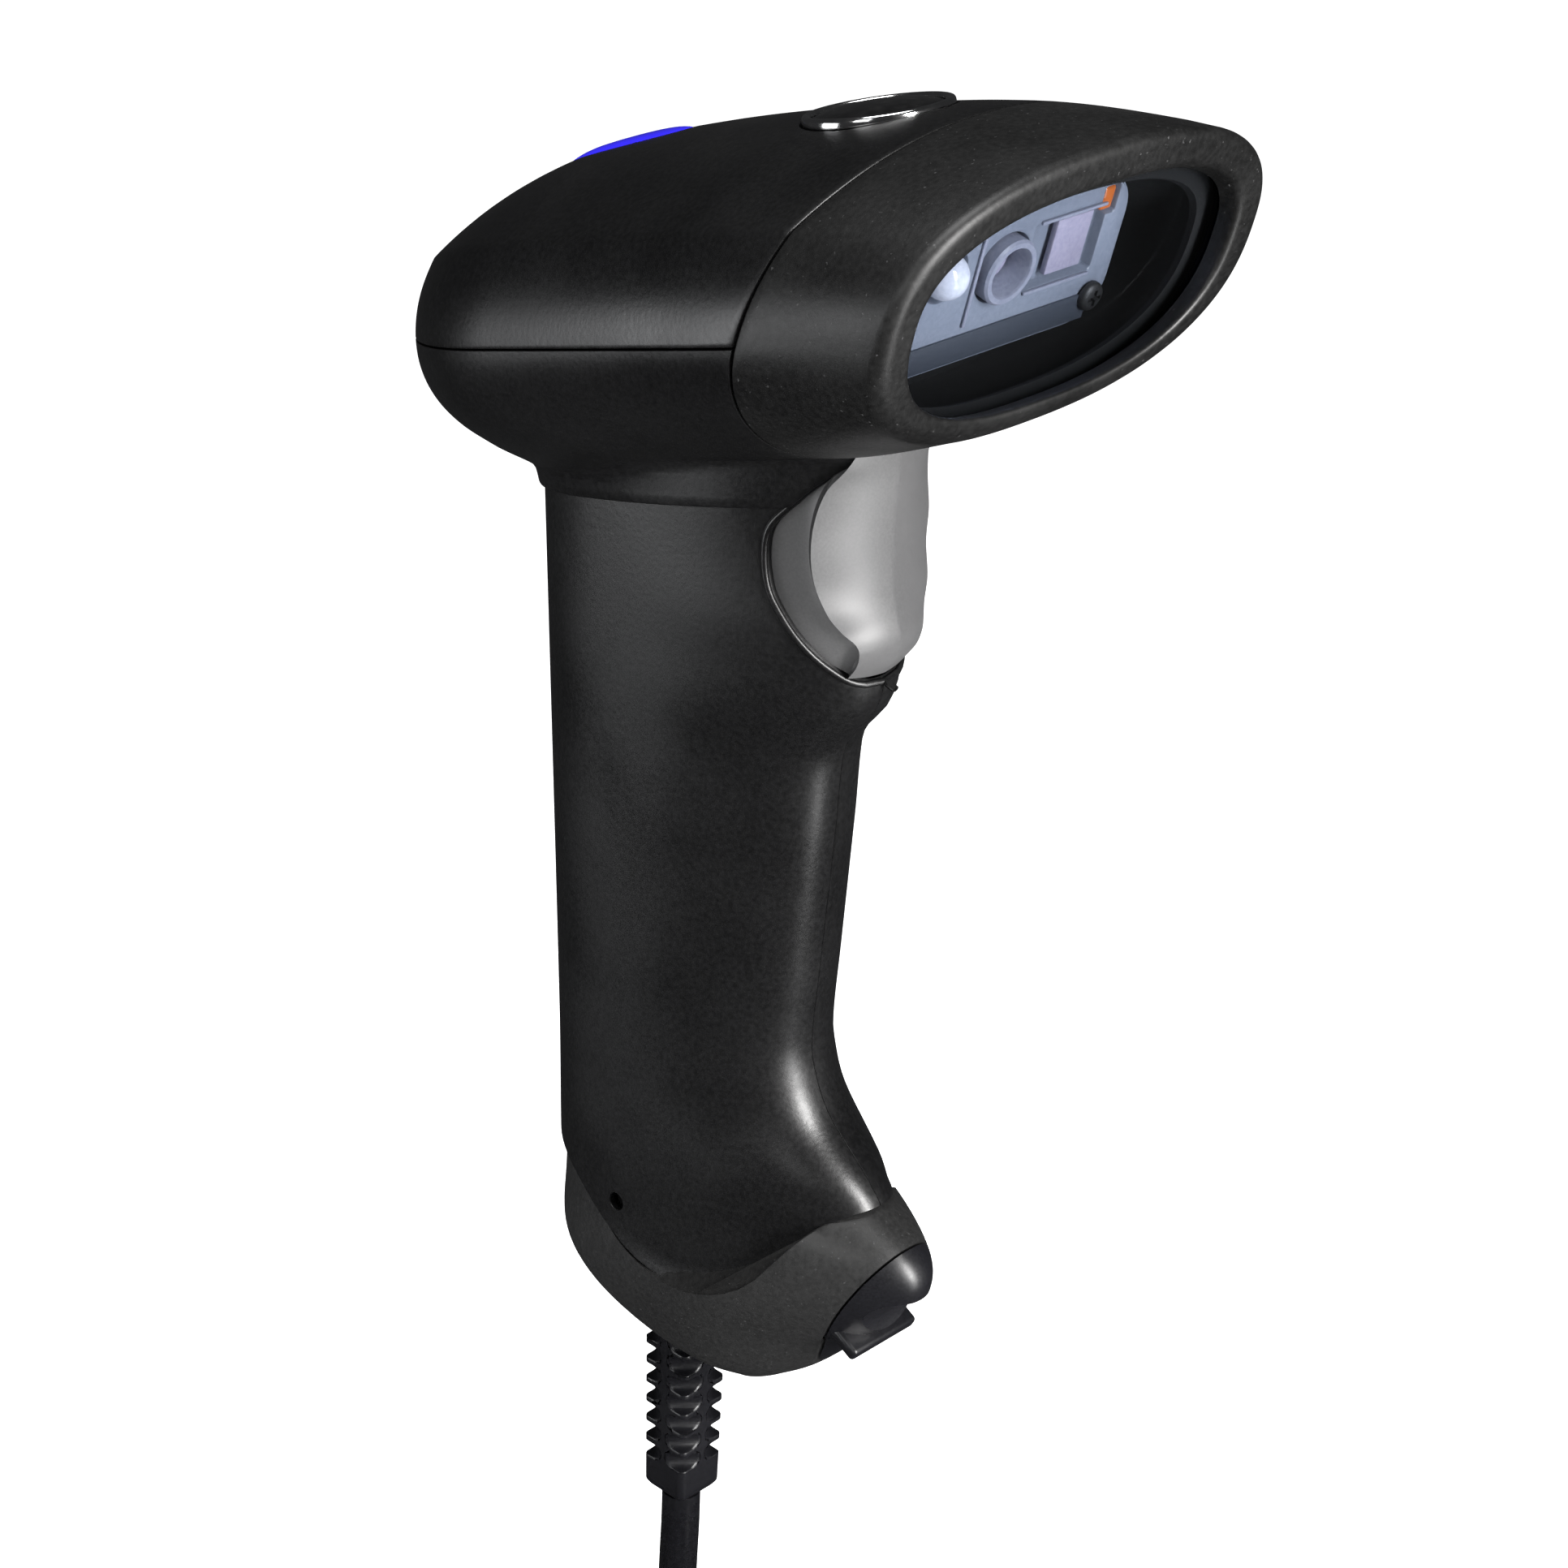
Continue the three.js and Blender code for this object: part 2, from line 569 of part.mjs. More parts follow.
function plugBlock(width, height, from, to, up = 0) {
  const [x, y, z] = alongPlug((from + to) / 2, up);
  return box(width, to - from, height, x, y, z, plugTilt);
}

function endCap() {
  const outer = capLoft().intersect(underSkirt(gap / 2));
  const inner = capLoft(capWall, -37);
  let cap = outer.subtract(inner).subtract(beyond(alongPlug(-gap / 2), plugNormal));
  const bulkhead = capLoft(capWall / 2).intersect(plugBlock(60, 60, -1.6 - gap / 2, -gap / 2))
    .intersect(underSkirt(gap / 2));
  cap = cap.add(bulkhead).subtract(plugBlock(spigot.width + 2 * gap, spigot.height + 2 * gap, -8, 6));
  const lip = gripLoft(-62, -40, wall + gap).subtract(gripLoft(-63, -39, wall + gap + 1.4));
  const lipBand = sideSlab(curved(shifted(skirtLine, 0, 2.6), [...curved(shifted(skirtLine, 0, -4), [], 34)].reverse(), 34), 60);
  cap = cap.add(lip.intersect(lipBand).subtract(capFrontKeepOut()));
  return cap.subtract(bootHole(gap));
}

// The locating lip stops short of the plug.
const capFrontKeepOut = () => beyond(alongPlug(-8), plugNormal);

function portPlug() {
  const face = capLoft().intersect(beyond(alongPlug(gap / 2), plugNormal)).intersect(underSkirt(gap / 2));
  const insert = plugBlock(spigot.width, spigot.height, -spigot.depth, 1);
  const thumbLip = plugBlock(11.4, 1.8, 0.5, 4.4, -3.9);
  const [, scoopY, scoopZ] = alongPlug(7.4, 2.2);
  const scoop = rod([-6, scoopY, scoopZ], [6, scoopY, scoopZ], 5, 20);
  return face.subtract(scoop).add(insert).add(thumbLip);
}

// ---- strain relief ----
const bootAxis = new THREE.Vector3(0, Math.sin(bootTilt), -Math.cos(bootTilt));
const bootLength = ribCount * ribPitch + collarHeight;
const onBoot = (distance) => new THREE.Vector3(0, bootY, bootTopZ).addScaledVector(bootAxis, distance);

function bootRing(distance, side) {
  const centre = onBoot(distance);
  const half = side / 2;
  return [[-1, -1], [1, -1], [1, 1], [-1, 1]].map(([x, y]) => new THREE.Vector3(
    x * half, centre.y + y * half * Math.cos(bootTilt), centre.z + y * half * Math.sin(bootTilt)));
}

const bootSide = (distance) => lerp(bootTopSide, bootEndSide, distance / bootLength);
const bootHole = (extra) => loft([bootRing(-6, bootTopSide + 2 * extra), bootRing(20, bootTopSide + 2 * extra)]);

function strainRelief() {
  let boot = loft([bootRing(-10, bootSide(0)), bootRing(0, bootSide(0)), bootRing(bootLength, bootSide(bootLength))]);
  boot = boot.add(loft([bootRing(-11, bootTopSide + 3), bootRing(-9, bootTopSide + 3)]));
  const slot = ribPitch * 0.55;
  const slotDepth = 1.2;
  for (let i = 0; i < ribCount; i += 1) {
    const at = (i + 0.7) * ribPitch;
    for (const [sx, sy] of [[-1, -1], [1, -1], [1, 1], [-1, 1]]) {
      const centre = onBoot(at);
      const half = bootSide(at) / 2;
      const cut = box(slotDepth * 2, slotDepth * 2, slot, sx * half, centre.y + sy * half, centre.z, bootTilt);
      boot = boot.subtract(cut);
    }
  }
  return boot.subtract(rod(onBoot(-12).toArray(), onBoot(bootLength + 2).toArray(), cordDiameter / 2 + gap, 16));
}

// ---- trigger pin, spring and switch ----
const springX = 4.6;
const springWidth = 3;
const springRadius = 2.1;
const springWire = 0.25;
const switchZ = 43;
const switchBoardY = -12.4;
const plungerRadius = 1.6;
const plungerReach = 3.2;

function tube(points, radius, steps, count) {
  const path = new THREE.CatmullRomCurve3(points.map((point) => new THREE.Vector3(...point)), false, 'centripetal');
  const section = new THREE.Shape(Array.from({ length: count }, (_, i) => new THREE.Vector2(
    radius * Math.cos((i / count) * 2 * Math.PI), radius * Math.sin((i / count) * 2 * Math.PI))));
  return toSolid(new THREE.ExtrudeGeometry(section, { steps, extrudePath: path, bevelEnabled: false }));
}

// A torsion spring round the pin: one leg along the trigger's arm, one along the casing floor.
function triggerSpring() {
  const turns = 3;
  const perTurn = 10;
  const points = [[springX - 1.1, pivotY - 3.2, pivotZ - 4.6]];
  for (let i = 0; i <= turns * perTurn; i += 1) {
    const angle = Math.PI + (i / perTurn) * 2 * Math.PI;
    points.push([lerp(springX - 1.1, springX + 1.1, i / (turns * perTurn)),
      pivotY + springRadius * Math.cos(angle), pivotZ + springRadius * Math.sin(angle)]);
  }
  points.push([springX + 1.1, pivotY + 1, pivotZ + 6]);
  return tube(points, springWire, 60, 5);
}

function triggerParts() {
  const plungerFace = -22.5 + gap;
  const switchFront = plungerFace + plungerReach - 1.7;
  const switchBack = switchBoardY - gap;
  const depth = switchBack - switchFront;
  const bore = rod([0, switchFront - 1, switchZ], [0, switchFront + 3.6, switchZ], plungerRadius + gap, 16);
  add('trigger_switch', box(7, depth, 7, 0, switchFront + depth / 2, switchZ).subtract(bore), 'chip');
  add('switch_plunger', rod([0, plungerFace, switchZ], [0, plungerFace + plungerReach, switchZ], plungerRadius, 16), 'trigger');
  add('trigger_board', box(14, 1.2, 20, 0, switchBoardY + 0.6, switchZ), 'board');
  add('trigger_pin', rod([-9.3, pivotY, pivotZ], [9.3, pivotY, pivotZ], pinRadius, 16), 'steel');
  add('trigger_spring', triggerSpring(), 'steel');
}

// ---- scan engine, built square to the glass ----
const engineStation = 46;
const engineSize = [40, 19, 7];
const lensAt = [0, 1.6];
const ledAt = [-9.6, 2.9];
const pocket = { x: 7.2, y: 1.6, width: 12, height: 8.4 };
const markerAt = [16.4, 6.2];

function engineParts() {
  engineGroup.rotation.x = Math.PI / 2 + lean;
  engineGroup.position.copy(onSection(engineStation, 0, 0));
  const [width, height, depth] = engineSize;
  const plate = new THREE.Shape();
  const corner = 4;
  const [right, top] = [width / 2, height / 2];
  plate.absarc(right - corner, top - corner, corner, 0, Math.PI / 2);
  plate.absarc(corner - right, top - corner, corner, Math.PI / 2, Math.PI);
  plate.absarc(corner - right, corner - top, corner, Math.PI, Math.PI * 1.5);
  plate.absarc(right - corner, corner - top, corner, Math.PI * 1.5, Math.PI * 2);
  const block = new THREE.ExtrudeGeometry(plate, { depth, bevelEnabled: false, curveSegments: 5 });
  let frame = toSolid(block.translate(0, 0, -depth));
  frame = frame.subtract(rod([...lensAt, -depth - 1], [...lensAt, 1], 4 + gap, 28));
  frame = frame.subtract(rod([...ledAt, -depth - 1], [...ledAt, 1], 3 + gap, 24));
  frame = frame.subtract(box(pocket.width, pocket.height, 3.4, pocket.x + 1.5, pocket.y, 0));
  frame = frame.subtract(box(2.6, 3.6, 4, ...markerAt, 0));
  for (const side of [-1, 1]) frame = frame.subtract(rod([side * 17, -6, -9], [side * 17, -6, 1], 1.1, 14));
  add('engine_frame', frame, 'engine', engineGroup);
  const barrel = rod([...lensAt, -depth], [...lensAt, 1.4], 4, 28).subtract(rod([...lensAt, -4], [...lensAt, 2], 2.9, 28));
  add('lens_barrel', barrel, 'engine', engineGroup);
  add('front_lens', rod([...lensAt, -3.6], [...lensAt, -1.2], 2.5, 24), 'glass', engineGroup);
  const bulb = new THREE.SphereGeometry(2.7, 16, 8).translate(...ledAt, 0);
  add('illumination_led', toSolid(bulb).add(rod([...ledAt, -depth + 0.4], [...ledAt, -0.2], 2.6, 16)), 'glass', engineGroup);
  add('aimer_pane', box(6, pocket.height - 1.4, 0.8, pocket.x + 3.2, pocket.y, -1.2 + gap), 'glass', engineGroup);
  add('amber_marker', box(2, 3, 1.4, ...markerAt, -1), 'amber', engineGroup);
  add('engine_board', box(width - 2, height - 1, 1.2, 0, 0, -depth - gap - 0.6)
    .subtract(rod([-17, -6, -12], [-17, -6, 1], 1.1, 14)).subtract(rod([17, -6, -12], [17, -6, 1], 1.1, 14)),
  'board', engineGroup);
  [-1, 1].forEach((side, i) => {
    const screw = rod([side * 17, -6, -11], [side * 17, -6, 0.3], 0.8, 12).add(
      rod([side * 17, -6, 0.3], [side * 17, -6, 1.3], 1.8, 14));
    add(`engine_screw_${i + 1}`, screw, 'steel', engineGroup);
  });
}

// ---- boards, ribbon, beeper, indicator, screws ----
const boardY = 7;
const boardThickness = 1.6;
const boardTop = 47;
const boardBottom = -40;

function boardParts() {
  const face = boardY - boardThickness / 2 - gap;
  add('main_board', box(17, boardThickness, boardTop - boardBottom, 0, boardY, (boardTop + boardBottom) / 2), 'board');
  add('decoder_chip', box(9, 1.2, 9, 0, face - 0.6, 12), 'chip');
  add('memory_chip', box(6, 1, 4, 0, face - 0.5, -4), 'chip');
  add('cable_socket', box(9, 5, 6, 0, face - 2.5, -31), 'ivory');
  add('cable_connector', box(8, 4, 5, 0, face - 2.5, -31 - 5.5 - gap), 'ivory');
  add('beeper', rod([-10.4, 2.8, -48.4], [-5.6, 2.8, -48.4], 4.3, 24), 'chip');
  const centreLine = [[-35.4, 84], [-27, 85], [-14, 82], [-4, 74], [2, 62], [face - 1, 50], [face - 0.5, 44]];
  const near = curved(centreLine, [], 18);
  const far = curved(shifted(centreLine, 0.45, 0.45), [], 18).reverse();
  add('ribbon_cable', sideSlab([...near, ...far], 10), 'ivory');
  const under = topPoint(lensStation);
  const boardDrop = wall + 6.8;
  add('indicator_board', box(12, 14, 1.2, 0, under.y, under.z - boardDrop), 'board');
  add('indicator_led', box(3, 3, 2, 0, under.y, under.z - boardDrop + 0.6 + gap + 1), 'ivory');
  caseScrews.forEach(([y, z], i) => {
    const screw = rod([-6.5, y, z], [9.6, y, z], screwRadius - 0.15, 14).add(
      rod([9.6, y, z], [11, y, z], screwHeadRadius, 18));
    add(`case_screw_${i + 1}`, screw, 'steel');
  });
}

// ---- cord: inside run, lead, stored coil, tail and plug ----
const coilHalf = (coilTurnsAcross * cordDiameter) / 2;
const coilHeight = coilTurnsHigh * cordDiameter;
const band = { width: 9, thickness: 0.7 };
const coilTop = floorZ + coilHeight;
const restZ = floorZ - band.thickness - gap;
const usb = { grip: [15.6, 26, 8], shell: [12, 18.5, 4.5], sheet: 0.5, x: 47, y: -30 };
const leadPoints = [...[bootLength - 12, bootLength - 4, bootLength + 5].map((d) => onBoot(d).toArray()),
  [0, 6.7, -116], [0, 7.2, -124], [0.3, 7.6, -131], [2.2, 7.6, -138], [6.2, 6.7, -143.6], [11.8, 4.2, coilTop + 3.2]];
const tailPoints = [[34.6, 2.6, floorZ + 2.7], [40, -1.5, floorZ + 2.6], [44.5, -6.5, restZ + 3.3],
  [46.6, -12, restZ + 3.9], [47, usb.y + usb.grip[1] / 2 + gap, restZ + 4]];

function cordParts() {
  const inner = [[0, 2.2, -39.6], [0, 2.2, -44], [0, 2.6, -50], onBoot(-6).toArray(), onBoot(bootLength - 12.4).toArray()];
  add('inner_cable', tube(inner, cordDiameter / 2, 16, 10), 'rubber', cordGroup);
  add('cord_lead', tube(leadPoints, cordDiameter / 2, 20, 10), 'rubber', cordGroup);
  const edge = 1.6;
  const [low, high] = [-coilHalf, coilHalf].map((shift) => coilMeanRadius + shift);
  const profile = [[low, floorZ + edge], [low + edge, floorZ], [high - edge, floorZ], [high, floorZ + edge],
    [high, coilTop - edge], [high - edge, coilTop], [low + edge, coilTop], [low, coilTop - edge], [low, floorZ + edge]];
  const ring = new THREE.LatheGeometry(profile.map(([r, z]) => new THREE.Vector2(r, z)), 28);
  ring.rotateX(Math.PI / 2).translate(coilX, coilY, 0);
  add('cord_coil', toSolid(ring), 'rubber', cordGroup);
  const [bandX, bandZ] = [2 * coilHalf + 2 * gap + 1.2, coilHeight + 2 * gap];
  const bandAt = [coilX - coilMeanRadius + 0.1, coilY, floorZ + coilHeight / 2];
  const tie = box(bandX + 2 * band.thickness, band.width, bandZ + 2 * band.thickness, ...bandAt).subtract(
    box(bandX, band.width + 2, bandZ, ...bandAt));
  add('cord_tie', tie, 'rubber', cordGroup);
  add('cord_tail', tube(tailPoints, cordDiameter / 2, 12, 10), 'rubber', cordGroup);
  const [gripX, gripY, gripZ] = usb.grip;
  const [shellX, shellY, shellZ] = usb.shell;
  const plugZ = restZ + gripZ / 2;
  add('usb_grip', box(gripX, gripY, gripZ, usb.x, usb.y, plugZ), 'rubber', cordGroup);
  const shellMiddle = usb.y - gripY / 2 - gap - shellY / 2;
  const shell = box(shellX, shellY, shellZ, usb.x, shellMiddle, plugZ).subtract(
    box(shellX - 2 * usb.sheet, shellY, shellZ - 2 * usb.sheet, usb.x, shellMiddle - 1, plugZ));
  add('usb_shell', shell, 'steel', cordGroup);
  add('usb_tongue', box(shellX - 2 * usb.sheet - 2 * gap, shellY - 3, 1.6, usb.x, shellMiddle - 1, plugZ - 0.6), 'ivory', cordGroup);
}

// ---- build the named pieces ----
add('body_right', caseHalf(-1), 'casing');
add('body_left', caseHalf(1), 'casing');
add('top_cover', topCover(), 'casing');
add('nose_bezel', noseBezel(), 'nose');
add('window_glass', windowGlass(), 'glass');
add('window_gasket', windowGasket(), 'rubber');
add('indicator_lens', indicatorLens(), 'blueLens');
add('badge_ring', badgeRing(), 'chrome');
add('badge_plate', badgePlate(), 'chrome');
add('trigger', trigger(), 'trigger', triggerGroup);
add('end_cap', endCap(), 'casing');
add('port_plug', portPlug(), 'rubber');
add('strain_relief', strainRelief(), 'rubber', cordGroup);
triggerParts();
engineParts();
boardParts();
cordParts();

export default group;
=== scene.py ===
import math

import bmesh
import bpy
from mathutils import Matrix, Vector
from mathutils.bvhtree import BVHTree


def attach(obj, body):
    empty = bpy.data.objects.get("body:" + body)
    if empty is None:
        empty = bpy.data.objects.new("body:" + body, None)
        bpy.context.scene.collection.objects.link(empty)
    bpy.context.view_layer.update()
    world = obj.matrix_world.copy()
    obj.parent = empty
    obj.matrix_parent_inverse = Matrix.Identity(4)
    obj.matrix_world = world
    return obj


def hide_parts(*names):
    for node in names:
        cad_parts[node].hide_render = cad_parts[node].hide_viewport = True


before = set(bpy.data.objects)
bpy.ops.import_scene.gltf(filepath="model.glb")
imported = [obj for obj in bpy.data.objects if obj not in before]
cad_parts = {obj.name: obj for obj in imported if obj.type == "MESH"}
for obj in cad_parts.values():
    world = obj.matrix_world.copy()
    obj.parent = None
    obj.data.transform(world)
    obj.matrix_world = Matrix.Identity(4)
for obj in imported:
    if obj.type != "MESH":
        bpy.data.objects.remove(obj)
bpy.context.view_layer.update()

mm = 0.001
gap = 0.3


# ---- small sums ----
def lerp(a, b, t):
    return a + (b - a) * t


def ease(value, low, high):
    t = min(max((value - low) / (high - low), 0), 1)
    return t * t * (3 - 2 * t)


def powered(value, power):
    return math.copysign(abs(value) ** (2 / power), value)


def along(stops, at):  # smooth reading of a list of (place, value)
    if at <= stops[0][0]:
        return stops[0][1]
    for i in range(1, len(stops)):
        if at > stops[i][0]:
            continue
        (x0, y0), (x1, y1) = stops[i - 1], stops[i]
        before, after = stops[max(i - 2, 0)], stops[min(i + 1, len(stops) - 1)]
        m0 = (y1 - before[1]) / (x1 - before[0])
        m1 = (after[1] - y0) / (after[0] - x0)
        h = x1 - x0
        t = (at - x0) / h
        return y0 + (y1 - y0) * t * t * (3 - 2 * t) + h * (m0 * t * (1 - t) ** 2 - m1 * t * t * (1 - t))
    return stops[-1][1]


def splineThrough(points, steps):  # even steps along a smooth line through the points
    fine = []
    last = len(points) - 1
    for i in range(last):
        p0, p1, p2, p3 = (Vector(points[min(max(k, 0), last)]) for k in (i - 1, i, i + 1, i + 2))
        for s in range(12):
            t = s / 12
            fine.append(0.5 * ((2 * p1) + (p2 - p0) * t + (2 * p0 - 5 * p1 + 4 * p2 - p3) * t * t
                               + (3 * p1 - p0 - 3 * p2 + p3) * t ** 3))
    fine.append(Vector(points[-1]))
    reach = [0]
    for a, b in zip(fine, fine[1:]):
        reach.append(reach[-1] + (b - a).length)
    out, k = [], 0
    for s in range(steps + 1):
        goal = reach[-1] * s / steps
        while k < len(fine) - 2 and reach[k + 1] < goal:
            k += 1
        share = (goal - reach[k]) / max(reach[k + 1] - reach[k], 1e-9)
        out.append(fine[k].lerp(fine[k + 1], min(share, 1)))
    return out


# ---- camera, light and floor ----
studio = {
    "cameraAt": (-301.82, -305.09, 203.86), "lookAt": (7.854, -6.043, 3.114), "lens": 87.58,
    "floorZ": -167.1,
    "lights": [
        # name, place, target, size, watts, colour
        ("frontBox", (10, -620, 200), (0, 0, -10), (130, 440), 10, (1, 0.99, 0.98)),
        ("lowStrip", (20, -300, -72), (0, -20, 10), (56, 170), 0.42, (1, 1, 1)),
        ("topBox", (-60, -60, 700), (0, -20, 60), (460, 360), 4.2, (1, 1, 1)),
        ("rearLeftBox", (-520, 330, -15), (0, 0, 0), (300, 280), 1.3, (0.97, 0.98, 1)),
        ("sideBox", (-560, -160, 330), (0, 0, 40), (260, 260), 0.8, (1, 1, 1)),
    ],
}


def makeStudio():
    scene = bpy.context.scene
    data = bpy.data.cameras.new("studioCamera")
    data.lens, data.sensor_width = studio["lens"], 36
    data.clip_start, data.clip_end = 0.01, 30
    camera = bpy.data.objects.new("studioCamera", data)
    camera.location = Vector(studio["cameraAt"]) * mm
    aim = Vector(studio["lookAt"]) - Vector(studio["cameraAt"])
    camera.rotation_euler = aim.to_track_quat("-Z", "Y").to_euler()
    scene.collection.objects.link(camera)
    scene.camera = camera
    for name, place, target, size, watts, colour in studio["lights"]:
        lamp = bpy.data.lights.new(name, "AREA")
        lamp.shape, lamp.size, lamp.size_y = "RECTANGLE", size[0] * mm, size[1] * mm
        lamp.energy, lamp.color = watts, colour
        holder = bpy.data.objects.new(name, lamp)
        holder.location = Vector(place) * mm
        holder.rotation_euler = (Vector(target) - Vector(place)).to_track_quat("-Z", "Y").to_euler()
        scene.collection.objects.link(holder)
        holder.visible_camera = False
    bm = bmesh.new()
    bmesh.ops.create_grid(bm, x_segments=1, y_segments=1, size=6)
    bmesh.ops.translate(bm, verts=bm.verts, vec=(0, 0, studio["floorZ"] * mm))
    mesh = bpy.data.meshes.new("floor")
    bm.to_mesh(mesh)
    floor = bpy.data.objects.new("floor", mesh)
    scene.collection.objects.link(floor)
    floor.visible_glossy = False
    paint = bpy.data.materials.new("floorPaint")
    paint.use_nodes = True
    shader = paint.node_tree.nodes["Principled BSDF"]
    shader.inputs["Base Color"].default_value = (0.92, 0.92, 0.92, 1)
    shader.inputs["Roughness"].default_value = 0.9
    shader.inputs["Emission Color"].default_value = (1, 1, 1, 1)
    shader.inputs["Emission Strength"].default_value = 0.95
    mesh.materials.append(paint)
    world = bpy.data.worlds.new("studioWorld")
    world.use_nodes = True
    world.node_tree.nodes["Background"].inputs["Color"].default_value = (0.95, 0.96, 1, 1)
    world.node_tree.nodes["Background"].inputs["Strength"].default_value = 0.03
    scene.world = world
    scene.view_settings.view_transform = "Standard"


makeStudio()
print("studio ready")


# ---- shader graphs ----
class Wire:  # a socket that can be summed
    def __init__(self, finish, socket):
        self.finish, self.socket = finish, socket

    def maths(self, operation, *values):
        return self.finish.make("ShaderNodeMath", {"operation": operation}, *values)

    def __add__(self, other):
        return self.maths("ADD", self, other)

    def __sub__(self, other):
        return self.maths("SUBTRACT", self, other)

    def __rsub__(self, other):
        return self.maths("SUBTRACT", other, self)

    def __mul__(self, other):
        return self.maths("MULTIPLY", self, other)

    def __truediv__(self, other):
        return self.maths("DIVIDE", self, other)

    def __rtruediv__(self, other):
        return self.maths("DIVIDE", other, self)

    def __pow__(self, other):
        return self.maths("POWER", self, other)

    __radd__ = __add__
    __rmul__ = __mul__


class Finish:
    def __init__(self, name, **constants):
        self.material = bpy.data.materials.new(name)
        self.material.use_nodes = True
        self.tree = self.material.node_tree
        self.shader = self.tree.nodes["Principled BSDF"]
        for socket, value in constants.items():
            self.shader.inputs[socket.replace("_", " ")].default_value = value

    def make(self, kind, settings, *values, out=0):
        node = self.tree.nodes.new(kind)
        stops = settings.pop("stops", None)
        for key, value in settings.items():
            setattr(node, key, value)
        if stops:
            ramp = node.color_ramp.elements
            while len(ramp) < len(stops):
                ramp.new(0.5)
            for element, (place, colour) in zip(ramp, stops):
                element.position, element.color = place, colour
        pairs = enumerate(values) if not (values and isinstance(values[0], dict)) else values[0].items()
        for socket, value in pairs:
            if isinstance(value, Wire):
                self.tree.links.new(value.socket, node.inputs[socket])
            elif value is not None:
                node.inputs[socket].default_value = value
        return Wire(self, node.outputs[out])

    def feed(self, socket, wire):
        self.tree.links.new(wire.socket, self.shader.inputs[socket])

    def place(self):
        return self.make("ShaderNodeTexCoord", {}, out="Object")

    def noise(self, scale, detail=2.0, where=None, rough=0.5):
        return self.make("ShaderNodeTexNoise", {}, {
            "Vector": where or self.place(), "Scale": scale, "Detail": detail, "Roughness": rough})

    def spread(self, wire, low, high, fromLow=0.3, fromHigh=0.7):
        return self.make("ShaderNodeMapRange", {}, wire, fromLow, fromHigh, low, high)

    def blend(self, share, first, second):
        return self.make("ShaderNodeMix", {"data_type": "RGBA"}, {
            "Factor": share, 6: first, 7: second}, out=2)

    def bumps(self, height, strength, distance):
        return self.make("ShaderNodeBump", {}, {"Height": height, "Strength": strength, "Distance": distance})


def grainy(name, dark, light, rough, grainSize, grainDepth, speck=0, patch=0.06, **constants):
    # moulded plastic: fine spark grain, faint cloudiness, slightly uneven polish
    finish = Finish(name, **constants)
    fine = finish.noise(1000 / grainSize, 3)
    clouds = finish.noise(60, 3)
    colour = finish.blend(finish.spread(fine + clouds * 0.4, 0, 1, 0.5, 0.9), dark, light)
    if speck:
        dust = finish.spread(finish.noise(1400 / grainSize, 1), 0, speck, 0.72, 0.8)
        colour = finish.blend(dust, colour, (0.35, 0.35, 0.36, 1))
    finish.feed("Base Color", colour)
    finish.feed("Roughness", finish.spread(clouds, rough - patch, rough + patch) + (fine - 0.5) * 0.12)
    finish.feed("Normal", finish.bumps(fine, 0.5, grainDepth * mm))
    return finish.material


def grey(value, blue=1.0):
    return (value, value, value * blue, 1)


def screenGlass():
    finish = Finish("paneGlass", Roughness=0.03, IOR=1.5)
    finish.feed("Base Color", finish.blend(finish.noise(40), grey(0.002), grey(0.004)))
    clear = finish.make("ShaderNodeBsdfTransparent", {}, {"Color": (0.93, 0.95, 0.98, 1)})
    edge = finish.make("ShaderNodeLayerWeight", {}, {"Blend": 0.28}, out="Fresnel")
    smear = finish.spread(finish.noise(70, 4), 0, 0.03)
    both = finish.make("ShaderNodeMixShader", {}, edge * 0.3 + 0.03 + smear, clear,
                       Wire(finish, finish.shader.outputs[0]))
    output = finish.tree.nodes["Material Output"]
    finish.tree.links.new(both.socket, output.inputs["Surface"])
    return finish.material


def glowing(name, colour, glow, strength):
    finish = Finish(name, Roughness=0.18, Emission_Strength=strength, Coat_Weight=0.4)
    haze = finish.noise(90, 2)
    for socket, tone, dim in (("Base Color", colour, 0.7), ("Emission Color", glow, 0.8)):
        dull = tuple(c * dim for c in tone[:3]) + (1,)
        finish.feed(socket, finish.blend(finish.spread(haze, 0, 1), tone, dull))
    return finish.material


def metal(name, tone, rough, brush=700):
    finish = Finish(name, Metallic=1.0)
    lines = finish.noise(brush, 2)
    finish.feed("Base Color", finish.blend(lines, grey(tone * 0.85), grey(tone)))
    finish.feed("Roughness", finish.spread(lines, rough * 0.7, rough * 1.3))
    finish.feed("Normal", finish.bumps(lines, 0.15, 0.01 * mm))
    return finish.material


def circuit():
    finish = Finish("boardLaminate", Roughness=0.35, Coat_Weight=0.3)
    cells = finish.make("ShaderNodeTexVoronoi", {"feature": "DISTANCE_TO_EDGE"}, {
        "Vector": finish.place(), "Scale": 420.0})
    tracks = finish.spread(cells, 1, 0, 0.02, 0.05)
    finish.feed("Base Color", finish.blend(tracks, (0.01, 0.09, 0.03, 1), (0.03, 0.2, 0.07, 1)))
    finish.feed("Normal", finish.bumps(tracks, 0.4, 0.04 * mm))
    return finish.material


